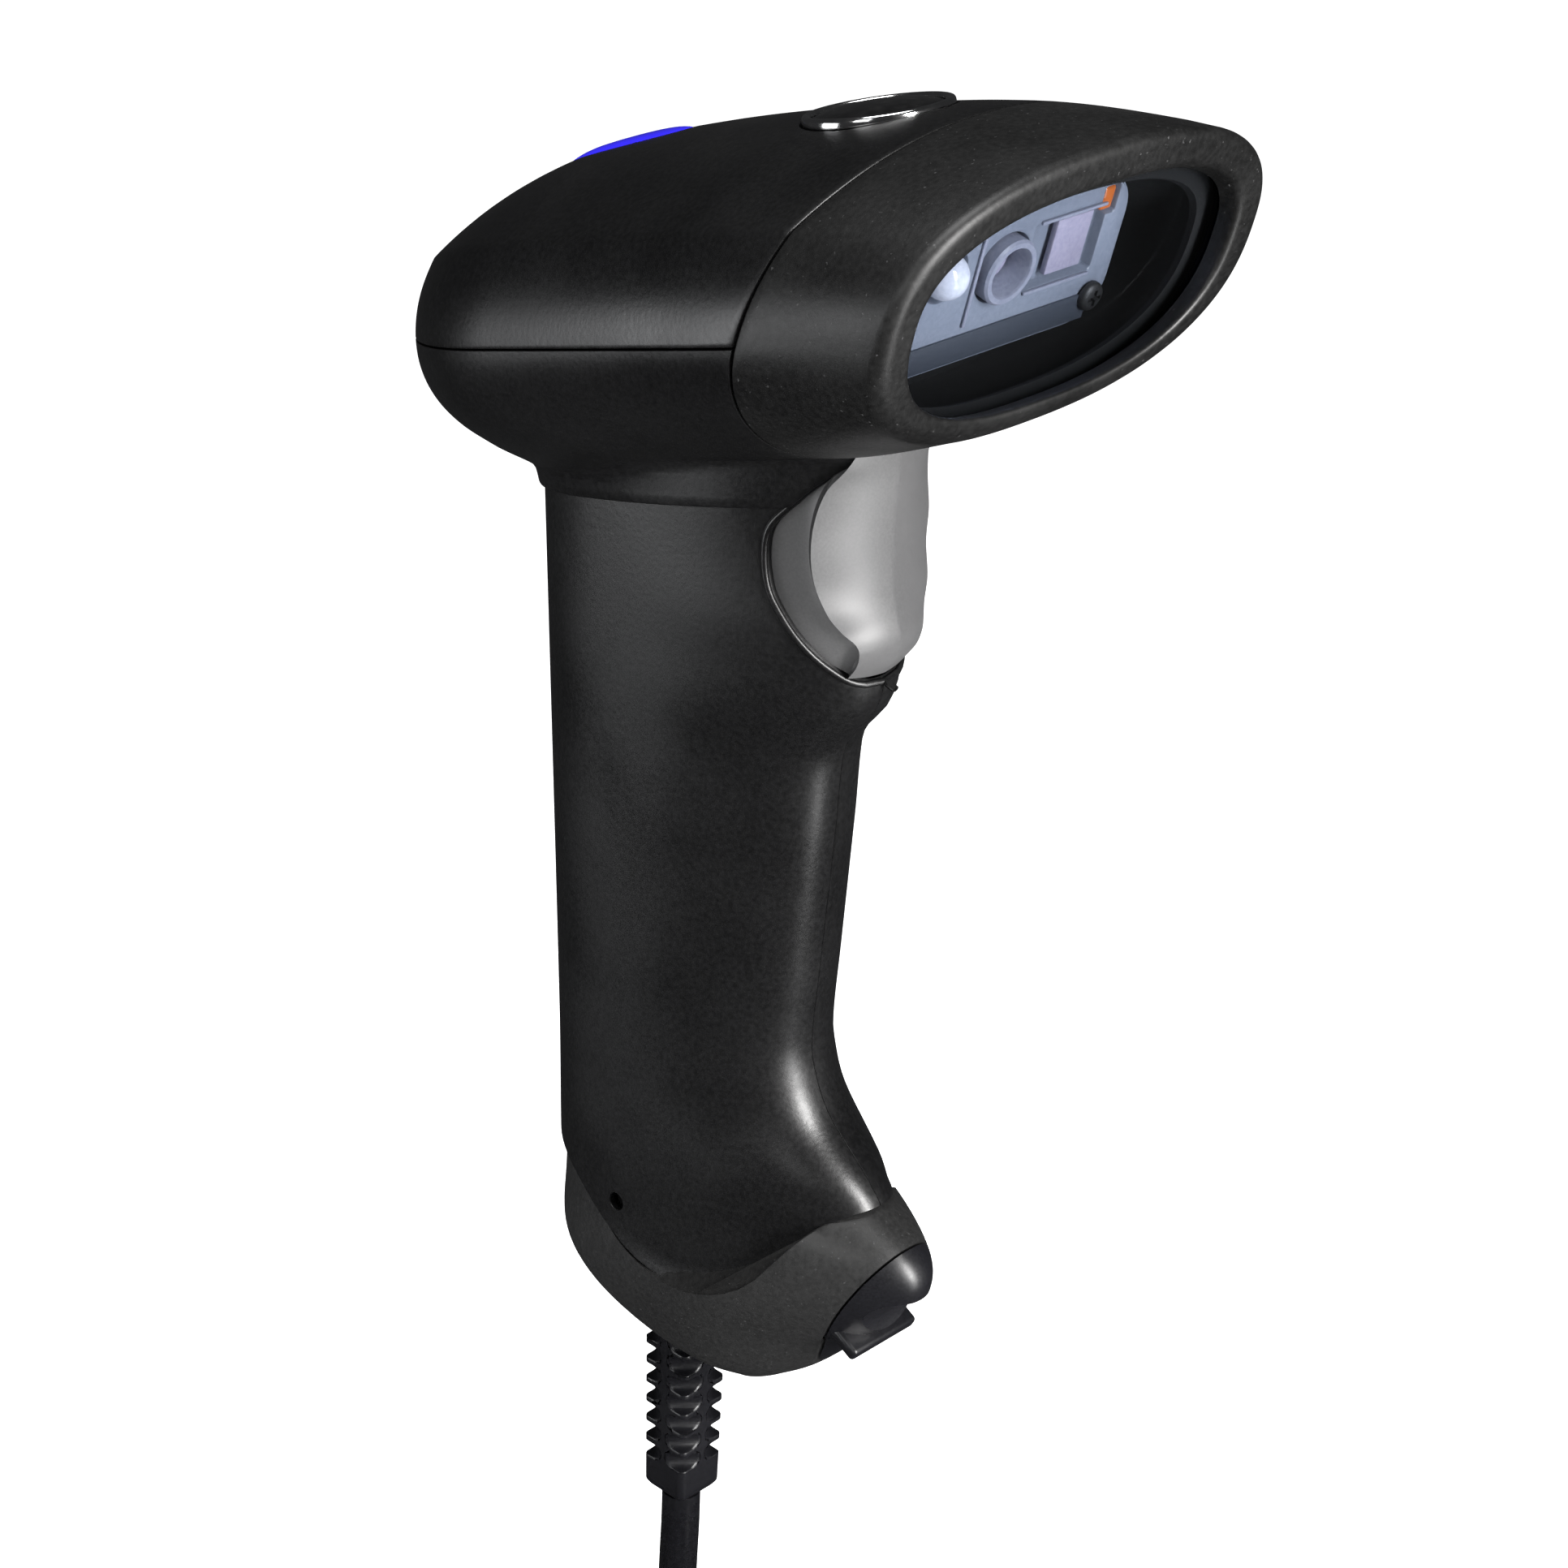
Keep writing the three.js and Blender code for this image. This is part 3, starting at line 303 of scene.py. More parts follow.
paints = {
    "casing": grainy("casingPlastic", grey(0.0025, 1.06), grey(0.005, 1.06), 0.36, 0.6, 0.034),
    "nose": grainy("noseRubber", grey(0.002), grey(0.0055), 0.47, 0.7, 0.055, speck=0.12),
    "cap": grainy("capPlastic", grey(0.01), grey(0.016), 0.42, 0.6, 0.045, speck=0.1),
    "trigger": grainy("triggerPlastic", grey(0.062, 1.02), grey(0.075, 1.02), 0.42, 0.3, 0.004),
    "rubber": grainy("bootRubber", grey(0.003, 1.3), grey(0.006, 1.3), 0.36, 0.3, 0.006),
    "cable": grainy("cableJacket", grey(0.003, 1.25), grey(0.005, 1.25), 0.3, 0.6, 0.004),
    "engine": grainy("engineShell", (0.16, 0.18, 0.225, 1), (0.2, 0.22, 0.27, 1), 0.4, 0.5, 0.004),
    "engineBand": grainy("engineBand", (0.04, 0.047, 0.062, 1), (0.05, 0.057, 0.072, 1), 0.45, 0.5, 0.004),
    "engineTrim": grainy("engineTrim", (0.2, 0.21, 0.27, 1), (0.26, 0.27, 0.33, 1), 0.35, 0.5, 0.004),
    # near-black: the gasket's and the lens stop's own colour, and painted shade on the disc behind the sound
    # hole and on the nose baffle
    "blackPartsAndShade": grainy("blackPartsAndPaintedShade", grey(0.0015), grey(0.003), 0.8, 0.5, 0.02),
    "chip": grainy("chipEpoxy", grey(0.012), grey(0.02), 0.5, 0.2, 0.01),
    "ivory": grainy("ivoryNylon", (0.5, 0.47, 0.38, 1), (0.6, 0.57, 0.48, 1), 0.45, 0.4, 0.006),
    "pane": screenGlass(),
    "lamp": glowing("blueLamp", (0.03, 0.02, 0.75, 1), (0.03, 0.02, 0.85, 1), 0.55),
    "amber": glowing("amberLens", (0.5, 0.13, 0.03, 1), (0.5, 0.12, 0.03, 1), 0.15),
    "chrome": metal("brightChrome", 0.75, 0.12),
    "darkChrome": metal("smokedChrome", 0.28, 0.2),
    "steel": metal("plainSteel", 0.6, 0.28),
    "contact": metal("goldContact", 0.6, 0.25),
    "optic": grainy("coatedOptic", (0.26, 0.24, 0.32, 1), (0.32, 0.3, 0.38, 1), 0.1, 0.5, 0.001),
    "bulb": grainy("ledEpoxy", (0.5, 0.52, 0.6, 1), (0.62, 0.64, 0.72, 1), 0.12, 0.5, 0.001),
    "board": circuit(),
}
print("finishes ready")


# ---- making pieces ----
def skin(bm, across, down, place, weld=0.002):
    # a grid of faces whose every corner is moved to place(u, v), with u and v from 0 to 1
    made = bmesh.ops.create_grid(bm, x_segments=across, y_segments=down, size=1)["verts"]
    for vert in made:
        vert.co = place((vert.co.x + 1) / 2, (vert.co.y + 1) / 2)
    bmesh.ops.remove_doubles(bm, verts=made, dist=weld)


def outward(bm):
    bmesh.ops.recalc_face_normals(bm, faces=bm.faces)


def closed(bm):
    bmesh.ops.holes_fill(bm, edges=[e for e in bm.edges if e.is_boundary], sides=0)


def trimmed(bm, where, normal, inner=False):  # cut by a plane; what lies past it, or before it, goes
    bmesh.ops.bisect_plane(bm, geom=bm.verts[:] + bm.edges[:] + bm.faces[:], dist=0.0001, plane_co=where,
                           plane_no=normal, clear_outer=not inner, clear_inner=inner)


def drawnOut(bm, outline, reach):  # a flat outline drawn out to a solid
    edge = [bm.verts.new(point) for point in outline]
    grown = bmesh.ops.extrude_face_region(bm, geom=[bm.faces.new(edge)])
    moved = [g for g in grown["geom"] if isinstance(g, bmesh.types.BMVert)]
    bmesh.ops.translate(bm, verts=moved, vec=reach)


def turned(bm, rows, sides, centre=(0, 0)):  # rows of (radius, height) carried round an upright axis
    def place(u, v):
        radius, height = rows[round(v * (len(rows) - 1))]
        angle = 2 * math.pi * u
        return Vector((centre[0] + radius * math.cos(angle), centre[1] + radius * math.sin(angle), height))

    skin(bm, sides, len(rows) - 1, place)


def reopened(pieces):  # settled pieces joined again as one mesh in millimetres
    bm = bmesh.new()
    for piece in pieces:
        bm.from_mesh(piece.data)
        bpy.data.objects.remove(piece, do_unlink=True)
    bmesh.ops.scale(bm, vec=(1 / mm, 1 / mm, 1 / mm), verts=bm.verts)
    return bm


def finished(name, bm, paint, body, stands=(), creaseDeg=38, modifiers=(), keep=False):
    # bm is in millimetres; modifiers are worked out at once so that the piece is plain mesh
    bmesh.ops.scale(bm, vec=(mm, mm, mm), verts=bm.verts)
    mesh = bpy.data.meshes.new(name)
    bm.to_mesh(mesh)
    bm.free()
    piece = bpy.data.objects.new(name, mesh)
    bpy.context.scene.collection.objects.link(piece)
    mesh.materials.append(paints[paint])
    for kind, settings in modifiers:
        modifier = piece.modifiers.new(kind.lower(), kind)
        for key, value in settings.items():
            setattr(modifier, key, value)
    if modifiers:
        bpy.context.view_layer.update()
        ready = piece.evaluated_get(bpy.context.evaluated_depsgraph_get())
        settled = bpy.data.meshes.new_from_object(ready)
        piece.modifiers.clear()
        piece.data = settled
        settled.name = name
    smooth(piece, creaseDeg)
    if not keep:
        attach(piece, body)
        if stands:
            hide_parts(*stands)
    return piece


def smooth(piece, creaseDeg):
    mesh = piece.data
    mesh.polygons.foreach_set("use_smooth", [True] * len(mesh.polygons))
    mesh.set_sharp_from_angle(angle=math.radians(creaseDeg))
    mesh.update()


def cutter(name, bm):
    # a solid that only serves a boolean; thrown away once the piece is settled
    outward(bm)
    bmesh.ops.scale(bm, vec=(mm, mm, mm), verts=bm.verts)
    mesh = bpy.data.meshes.new(name)
    bm.to_mesh(mesh)
    bm.free()
    tool = bpy.data.objects.new(name, mesh)
    bpy.context.scene.collection.objects.link(tool)
    tool.hide_render = True
    tools.append(tool)
    return tool


tools = []


def dropTools():
    while tools:
        bpy.data.objects.remove(tools.pop(), do_unlink=True)


def carve(tool, operation="DIFFERENCE", thorough=False):
    return ("BOOLEAN", {"object": tool, "operation": operation, "solver": "EXACT", "use_self": thorough})


def walls(thickness):
    return ("SOLIDIFY", {"thickness": thickness * mm, "offset": -1, "use_even_offset": True,
                         "use_quality_normals": True})


def rounded(width, segments=2, angle=40):
    return ("BEVEL", {"width": width * mm, "segments": segments, "limit_method": "ANGLE",
                      "angle_limit": math.radians(angle), "use_clamp_overlap": False, "harden_normals": False})


def block(bm, size, centre, turn=None, soft=0.0, segments=2):
    # worked out in a mesh of its own, then added to bm
    own = bmesh.new()
    bmesh.ops.create_cube(own, size=1)
    bmesh.ops.scale(own, vec=size, verts=own.verts)
    if soft:
        bmesh.ops.bevel(own, geom=own.edges[:], offset=soft, offset_type="OFFSET", segments=segments,
                        profile=0.5, affect="EDGES", clamp_overlap=True, material=-1)
    if turn:
        bmesh.ops.rotate(own, verts=own.verts, cent=(0, 0, 0), matrix=turn)
    bmesh.ops.translate(own, verts=own.verts, vec=centre)
    addTo(bm, own)


def addTo(bm, own):
    carrier = bpy.data.meshes.new("carrier")
    own.to_mesh(carrier)
    own.free()
    bm.from_mesh(carrier)
    bpy.data.meshes.remove(carrier)


def rod(bm, start, end, radius, sides=32):
    start, end = Vector(start), Vector(end)
    span = end - start
    turn = span.to_track_quat("Z", "Y").to_matrix().to_4x4()
    bmesh.ops.create_cone(bm, cap_ends=True, segments=sides, radius1=radius, radius2=radius, depth=span.length,
                          matrix=Matrix.Translation((start + end) / 2) @ turn)


def slab(bm, outline, halfWidth):  # a side-view outline of (y, z) points, drawn out along X
    drawnOut(bm, [(-halfWidth, y, z) for y, z in outline], (2 * halfWidth, 0, 0))


def tubeAlong(bm, points, radius, sides=16):
    # rings carried along the points without twist
    points = [Vector(p) for p in points]
    last = len(points) - 1
    tangents = [(points[min(i + 1, last)] - points[max(i - 1, 0)]).normalized() for i in range(last + 1)]
    side = tangents[0].orthogonal().normalized()
    frames = []
    for tangent in tangents:
        side = (side - tangent * side.dot(tangent)).normalized()
        frames.append((side.copy(), tangent.cross(side)))

    def place(u, v):
        i = int(round(v * last))
        a, b = frames[i]
        angle = 2 * math.pi * u
        return points[i] + (a * math.cos(angle) + b * math.sin(angle)) * radius

    skin(bm, sides, last, place, weld=0.0005)
    closed(bm)


# ---- head sections, the same as in the model ----
head = {
    "parting": 67.9, "pitch": 0.237, "lean": 0.297, "rear": -31.4, "shoulder": -2.8, "seam": 37.2, "face": 57.7,
    "tops": [(-31, 15.8), (-5.4, 19.2), (10, 21.2), (21.2, 22.2), (37.2, 21.2), (57.7, 16.2)],
    "bottoms": [(-31, 20.5), (0, 20.9), (37.2, 21.9), (57.7, 17.7)],
    "widths": [(-31, 31.2), (0, 31.8), (24, 32.1), (37.2, 32.1), (57.7, 30.7)],
    "leans": [(-14, 0), (0, 0.104), (14, 0.2376), (26, 0.297), (57.7, 0.297)],
    "creases": [(-30, 0.2), (-20, 1), (30, 1), (37.2, 0.75), (51.7, 0)],
    "lowerPowers": [(0, 2), (37.2, 1.85), (57.7, 2.5)],
    "upperPower": 2.4, "rearPower": 2.3, "rearTopPower": 2.8,
    "creaseAcross": 0.87, "creaseUp": 0.6, "creaseBow": 2.1,
}


def onSection(station, x, v):
    tilt = along(head["leans"], station)
    level = head["parting"] + head["pitch"] * station
    return Vector((x, -station - v * math.sin(tilt), level + v * math.cos(tilt)))


def headSizes(station, inset=0.0):
    reach = (head["shoulder"] - station) / (head["shoulder"] - head["rear"] - inset)
    reach = min(max(reach, 0), 1)
    close = (1 - reach ** head["rearPower"]) ** (1 / head["rearPower"])
    closeTop = (1 - reach ** head["rearTopPower"]) ** (1 / head["rearTopPower"])
    return ((along(head["widths"], station) - inset) * close, (along(head["tops"], station) - inset) * closeTop,
            (along(head["bottoms"], station) - inset) * close)


def headAcross(station, angle, inset=0.0):
    # (x, v) of the section at an angle from +X
    width, top, bottom = headSizes(station, inset)
    above = math.sin(angle) > 0
    power = head["upperPower"] if above else along(head["lowerPowers"], station)
    v = powered(math.sin(angle), power) * (top if above else bottom)
    x = width * powered(math.cos(angle), power)
    if above:
        turn = 1 - abs(angle - math.pi / 2) / (math.pi / 2)
        creaseAt, bow = 0.42, head["creaseBow"]
        creaseX, creaseV = head["creaseAcross"] * width, head["creaseUp"] * top
        if turn < creaseAt:
            t = turn / creaseAt
            sharpX, sharpV = width - (width - creaseX) * t ** bow, creaseV * t
        else:
            t = (1 - turn) / (1 - creaseAt)
            sharpX, sharpV = creaseX * t, top - (top - creaseV) * t ** bow
        amount = along(head["creases"], station)
        x = lerp(x, math.copysign(sharpX, x), amount)
        v = lerp(v, sharpV, amount)
    return x, v


def headPoint(station, angle, inset=0.0):
    return onSection(station, *headAcross(station, angle, inset))


def headStation(v):  # from the rear pole at 0 to the seam at 1, closer together towards the pole
    split = 0.42
    if v < split:
        return head["shoulder"] - (head["shoulder"] - head["rear"]) * math.cos(v / split * math.pi / 2)
    return lerp(head["shoulder"], head["seam"] - gap / 2, (v - split) / (1 - split))


# ---- grip sections ----
grip = {
    "fronts": [(-46.5, -30.2), (-43.7, -29.6), (-41.7, -28.5), (-34.6, -21.4), (-28.6, -18.8), (-25, -18.5),
               (-14.6, -19.8), (5, -22.3), (15.3, -23.5), (18.1, -24.8), (21.8, -28.1), (25.1, -29.6),
               (28.8, -30.4), (33.5, -32.6), (41, -31), (46.5, -30.8), (55.8, -31.6), (61.4, -32.4)],
    "tapers": [(-50, 0.35), (-38, 0.22), (-24, 0.12), (60, 0.12)],
    "widths": [(-62, 14.2), (-46, 13.9), (-30, 13.5), (60, 13.5)],
    "rear": 20.5, "belly": 3.7, "frontPower": 2.3, "rearPower": 2.6,
    "neckStep": 0.7, "neckHeight": 45.1, "neckSlope": 0.17, "neckFlare": 3,
}


def levelPoint(angle, z, front, rear, belly, half, taper, inset=0.0):
    ahead = math.sin(angle) < 0
    depth = belly - front - inset if ahead else rear - belly - inset
    power = grip["frontPower"] if ahead else grip["rearPower"]
    reach = powered(math.sin(angle), power)
    narrow = 1 - taper * reach * reach if ahead else 1
    return Vector(((half - inset) * powered(math.cos(angle), power) * narrow, belly + depth * reach, z))


def gripPoint(angle, z, inset=0.0):
    return levelPoint(angle, z, along(grip["fronts"], z), grip["rear"], grip["belly"], along(grip["widths"], z),
                      along(grip["tapers"], z), inset)


def gripHalfAt(y, z, inset=0.0):  # half width of the grip's skin at one place of its side view
    belly = grip["belly"]
    front = along(grip["fronts"], z) + inset
    share = min((belly - y) / (belly - front), 1) if y < belly else min((y - belly) / (grip["rear"] - belly), 1)
    power = grip["frontPower"] if y < belly else grip["rearPower"]
    sine = share ** (power / 2)
    narrow = 1 - along(grip["tapers"], z) * share * share if y < belly else 1
    return (along(grip["widths"], z) - inset) * max(1 - sine * sine, 0) ** (1 / power) * narrow


skirtLine = [(-44, -43.6), (-36, -43.8), (-30, -44.3), (-26, -46.4), (-22.6, -50.8), (-19.2, -55),
             (-14.8, -58), (-10.4, -59.4), (-6, -59.6), (0, -58.2), (6, -54.6), (10, -51.5), (14, -49.2),
             (20, -46.5), (30, -45)]


def onSkirt(angle, shift, section):  # height where a column of the section meets the skirt line
    z = -50.0
    for _ in range(14):
        z = lerp(z, along(skirtLine, section(angle, z).y) + shift, 0.6)
    return z


# ---- cord: from the boot down to a stored coil and its plug ----
boot = {"topZ": -69.5, "y": 4.2, "tilt": 0.05, "topSide": 8.3, "endSide": 7.4, "pitch": 3.2, "ribs": 9,
        "collar": 6, "hidden": 9, "slotRadius": 1.12, "slotDepth": 2.3}
boot["length"] = boot["ribs"] * boot["pitch"] + boot["collar"]
cordSizes = {"diameter": 5.4, "length": 1700, "floorZ": -166, "coilX": 0, "coilY": -16, "meanRadius": 28,
             "across": 3, "high": 3, "turnSteps": 24, "startDeg": 45, "plugX": 47, "plugY": -30,
             "plugRest": studio["floorZ"] + 0.1}


def onBoot(distance):
    axis = Vector((0, math.sin(boot["tilt"]), -math.cos(boot["tilt"])))
    return Vector((0, boot["y"], boot["topZ"])) + axis * distance


def cordRoute():
    d, floorZ = cordSizes["diameter"], cordSizes["floorZ"]
    centre = Vector((cordSizes["coilX"], cordSizes["coilY"], 0))
    layerTop = floorZ + (cordSizes["high"] - 0.5) * d
    lead = [onBoot(boot["length"] + 0.3), onBoot(boot["length"] + 6), (0, 6.7, -116), (0, 7.2, -124),
            (0.3, 7.6, -131), (2.2, 7.6, -138), (6.2, 6.7, -143.6), (11.8, 4.2, -146.6)]
    turns = []
    count = cordSizes["across"] * cordSizes["high"]

    def spot(index):  # radius and height of one stored turn, laid to and fro from the top layer down
        layer, ring = divmod(index, cordSizes["across"])
        if layer % 2:
            ring = cordSizes["across"] - 1 - ring
        return cordSizes["meanRadius"] + (ring - (cordSizes["across"] - 1) / 2) * d, layerTop - layer * d

    for step in range(count * cordSizes["turnSteps"]):
        at = step / cordSizes["turnSteps"]
        k = min(int(at), count - 1)
        share = ease(at - k, 0.72, 1) if k < count - 1 else 0
        radius, z = (lerp(a, b, share) for a, b in zip(spot(k), spot(min(k + 1, count - 1))))
        if at < 0.22:  # the first turn comes down from above
            z += (1 - ease(at, -0.04, 0.22)) * 4.6
            radius += (1 - ease(at, -0.04, 0.22)) * 2.4
        angle = math.radians(cordSizes["startDeg"]) - at * 2 * math.pi
        turns.append(centre + Vector((radius * math.cos(angle), radius * math.sin(angle), z)))
    rest = cordSizes["plugRest"]
    tail = [(34.6, 2.6, floorZ + 2.7), (40, -1.5, floorZ + 2.6), (44.5, -6.5, rest + 3.3),
            (46.6, -12, rest + 3.9), (47, -16.9, rest + 4), (47, -20, rest + 4)]
    return lead, turns, tail


leadPoints, turnPoints, tailPoints = cordRoute()
leadPart = splineThrough(leadPoints + turnPoints[1:2], 26)
tailPart = splineThrough([turnPoints[-1]] + tailPoints, 12)
route = leadPart[:-1] + turnPoints[1:-1] + tailPart
print("cord length", sum((b - a).length for a, b in zip(route, route[1:])))


def makeCord():
    bm = bmesh.new()
    tubeAlong(bm, route, cordSizes["diameter"] / 2, sides=14)
    outward(bm)
    usb = makeUsb()
    piece = finished("usbCable", bm, "cable", "scanner", ["cord_lead", "cord_coil", "cord_tail"])
    tuple(route[0] * mm)
    cordSizes["length"] * mm
    cordSizes["diameter"] * mm
    [tuple(p * mm) for p in route]


plug = {"grip": (15.6, 26, 8), "shell": (12, 18.5, 4.5), "sheet": 0.3, "ribs": 4, "ribPitch": 2.3,
        "contacts": 4, "contactPitch": 2.3, "holeX": 2.4}


def makeUsb():
    x, y, z = cordSizes["plugX"], cordSizes["plugY"], cordSizes["plugRest"] + plug["grip"][2] / 2
    bm = bmesh.new()
    block(bm, plug["grip"], (x, y, z), soft=1.6, segments=4)
    for i in range(plug["ribs"]):  # finger ribs on both broad faces
        for side in (-1, 1):
            block(bm, (9, 0.9, 0.7), (x, y + 3.4 - i * plug["ribPitch"], z + side * 3.7), soft=0.25)
    tubeAlong(bm, [(x, y + 12.6, z), (x, y + 12.95, z)], 3.6, 20)
    outward(bm)
    body = finished("usbGrip", bm, "rubber", "scanner", ["usb_grip"])
    bm = bmesh.new()
    width, depth = plug["shell"][:2]
    middle = y - plug["grip"][1] / 2 - gap - depth / 2
    block(bm, plug["shell"], (x, middle, z), soft=0.5, segments=3)
    bm.normal_update()
    front = max((f for f in bm.faces if f.normal.y < -0.99), key=lambda f: f.calc_area())
    bmesh.ops.inset_region(bm, faces=[front], thickness=plug["sheet"])
    inside = bmesh.ops.extrude_discrete_faces(bm, faces=[front])["faces"][0]  # the mouth goes in to the back
    bmesh.ops.translate(bm, verts=inside.verts, vec=(0, depth - 1.2, 0))
    outward(bm)
    holes = bmesh.new()
    for side in (-1, 1):
        block(holes, (2.4, 2.4, 12), (x + side * plug["holeX"], middle - 1.6, z))
    shell = finished("usbShell", bm, "steel", "scanner", ["usb_shell"], modifiers=[
        carve(cutter("shellHoles", holes))])
    dropTools()
    bm = bmesh.new()
    block(bm, (width - 1.2, depth - 3, 1.7), (x, middle - 1, z - 0.7), soft=0.15)
    outward(bm)
    tongue = finished("usbTongue", bm, "ivory", "scanner", ["usb_tongue"])
    bm = bmesh.new()
    for i in range(plug["contacts"]):
        across = (i - (plug["contacts"] - 1) / 2) * plug["contactPitch"]
        block(bm, (1.1, 7.5, 0.2), (x + across, middle - 4.2, z + 0.2), soft=0.05)
    outward(bm)
    contacts = finished("usbContacts", bm, "contact", "scanner")
    return [body, shell, tongue, contacts]


def makeTie():
    half = cordSizes["across"] * cordSizes["diameter"] / 2 + 0.7
    tall = cordSizes["high"] * cordSizes["diameter"] / 2 + 0.35
    centre = Vector((cordSizes["coilX"] - cordSizes["meanRadius"] + 0.1, cordSizes["coilY"],
                     cordSizes["floorZ"] + cordSizes["high"] * cordSizes["diameter"] / 2))
    bm = bmesh.new()

    def place(u, v):  # a flat strap round the turns, with rounded corners
        angle = 2 * math.pi * u
        out = Vector((powered(math.cos(angle), 7) * half, 0, powered(math.sin(angle), 7) * tall))
        return centre + out + Vector((0, lerp(-4.5, 4.5, v), 0))

    skin(bm, 72, 6, place)
    outward(bm)
    finished("cordTie", bm, "cable", "scanner", ["cord_tie"], modifiers=[
        ("SOLIDIFY", {"thickness": 0.6 * mm, "offset": 0}), rounded(0.2)])


def makeBoot():
    length, hidden = boot["length"], boot["hidden"]
    bm = bmesh.new()

    def place(u, v):
        # a square sleeve with eased corners, its collar pulled in at the lower end
        at = v * (length + hidden) - hidden
        side = lerp(boot["topSide"], boot["endSide"], min(max(at, 0), length) / length)
        pull = ease(at, length - 1.5, length)
        half = side / 2 * (1 - 0.34 * pull ** 1.6)
        angle = 2 * math.pi * u + math.pi / 4
        reach = half / max(abs(math.cos(angle)), abs(math.sin(angle)))
        reach = min(reach, half * 1.31)
        x, y = reach * math.cos(angle), reach * math.sin(angle)
        return onBoot(at) + Vector((x, y, y * boot["tilt"]))

    skin(bm, 96, 60, place)
    closed(bm)
    outward(bm)
    slots = bmesh.new()
    for i in range(boot["ribs"]):
        at = (i + 0.7) * boot["pitch"]
        middle = onBoot(at)
        half = lerp(boot["topSide"], boot["endSide"], at / length) / 2
        for k in range(4):
            angle = math.pi / 4 + k * math.pi / 2
            out = Vector((math.cos(angle), math.sin(angle), 0))
            side = Vector((-math.sin(angle), math.cos(angle), 0))
            seat = middle + out * (half * 1.414 - boot["slotDepth"] + boot["slotRadius"])
            prism(slots, seat, out, side, boot["slotRadius"], 3.0)
    finished("strainBoot", bm, "rubber", "scanner", ["strain_relief"], modifiers=[
        carve(cutter("bootSlots", slots)), rounded(0.28, 2, 35)])
    dropTools()


def prism(bm, seat, out, side, radius, reach):
    # a bar with a round inner edge and an open outer side, as one closed solid
    up = Vector((0, 0, 1))
    outline = [seat + out * (-radius * math.cos(a)) + up * radius * math.sin(a)
               for a in (math.pi * (i / 10 - 0.5) for i in range(11))]
    outline += [seat + out * 6 + up * radius, seat + out * 6 - up * radius]
    drawnOut(bm, [p - side * reach for p in outline], side * 2 * reach)


makeCord()
makeTie()
makeBoot()
print("cord and boot made")


# ---- casing ----
def headNorm(x, y, z):  # 1 on the head's lower skin, less inside
    station = -y
    for _ in range(8):
        tilt = along(head["leans"], station)
        v = (z - head["parting"] - head["pitch"] * station) / math.cos(tilt)
        station = -y - v * math.sin(tilt)
    width, top, bottom = headSizes(station)
    if width < 0.01:
        return 9.0
    power = along(head["lowerPowers"], station)
    height = top if v > 0 else bottom
    return ((abs(x) / width) ** power + (abs(v) / height) ** power) ** (1 / power)


neck = {"columns": 112, "rows": 30, "blend": 8, "centreY": -3}


def neckReach(angle, t):
    # how far out the casing's upper part goes, on a sloping level from the neck line to the parting plane
    level = lerp(grip["neckHeight"], head["parting"] - gap / 2, t)
    slope = lerp(grip["neckSlope"], head["pitch"], t)
    cos, sin = math.cos(angle), math.sin(angle)

    def spot(r):
        y = neck["centreY"] + r * sin
        return r * cos, y, level - slope * y

    def reachOf(inside):
        low, high = 0.0, 75.0
        for _ in range(22):
            middle = (low + high) / 2
            if inside(*spot(middle)):
                low = middle
            else:
                high = middle
        return low

    def inGrip(x, y, z):
        front = along(grip["fronts"], min(z, 60)) - grip["neckStep"]
        if y <= front or y >= grip["rear"] + grip["neckStep"]:
            return False
        return abs(x) < gripHalfAt(y, min(z, 60), -grip["neckStep"])

    rise = min(max((level - grip["neckHeight"] + 6) / 13, 0), 1)
    ofGrip = reachOf(inGrip) + grip["neckFlare"] * rise ** 3 * ease(sin, -0.7, 0.9)
    inHead = headNorm(*spot(0)) < 1
    ofHead = reachOf(lambda x, y, z: headNorm(x, y, z) < 1) if inHead else 0
    width = neck["blend"] * (0.25 + 0.75 * ease(sin, -0.5, 0.6))
    mix = max(width - abs(ofGrip - ofHead), 0) / width
    reach = max(ofGrip, ofHead) + mix * mix * width / 4
    return Vector(spot(reach))


def casingSkins():
    upper = bmesh.new()
    rows = neck["rows"]

    def place(u, v):
        angle = 2 * math.pi * u - math.pi / 2
        row = round(v * (rows + 2))
        if row < 2:  # the shoulder's lower edge turns in towards the grip
            edge = neckReach(angle, 0)
            inwards = (Vector((0, neck["centreY"], edge.z)) - edge).normalized()
            return edge + inwards * (0.12 if row else 0.9) + Vector((0, 0, 0 if row else 0.05))
        t = (row - 2) / rows
        return neckReach(angle, min(0.012 + t ** 0.9 * 0.988, 1))

    skin(upper, neck["columns"], rows + 2, place)
    lower = bmesh.new()
    rows = 64

    def handle(u, v):
        angle = 2 * math.pi * u - math.pi / 2
        low = onSkirt(angle, gap / 2, gripPoint)
        z = lerp(low, 50, v ** 1.15)
        point = gripPoint(angle, z)
        # the lip rolls out a little over the end cap, most at the front
        roll = (1 - ease(z - low, 0, 2.2)) * 0.6 * ease(-point.y, -8, 12)
        out = Vector((point.x, point.y - grip["belly"], 0)).normalized()
        return point + out * roll

    skin(lower, 120, rows, handle)
    return upper, lower


opening = {"line": [(-44, 59.2), (-40, 58.5), (-33, 56.6), (-27.7, 53.3), (-23.6, 49.3), (-21, 46.1),
                    (-20.4, 42.5), (-21, 38.6), (-22.8, 35.4), (-25.1, 32.2), (-27.2, 29.4), (-29.2, 27.3),
                    (-32, 26.2), (-46, 25.8)], "bead": 0.42}


def openingTool():
    line = splineThrough([(0, y, z) for y, z in opening["line"]], 80)
    bm = bmesh.new()
    slab(bm, [(p.y, p.z) for p in line] + [(-60, 25.8), (-60, 59.2)], 30)
    return cutter("triggerOpening", bm)


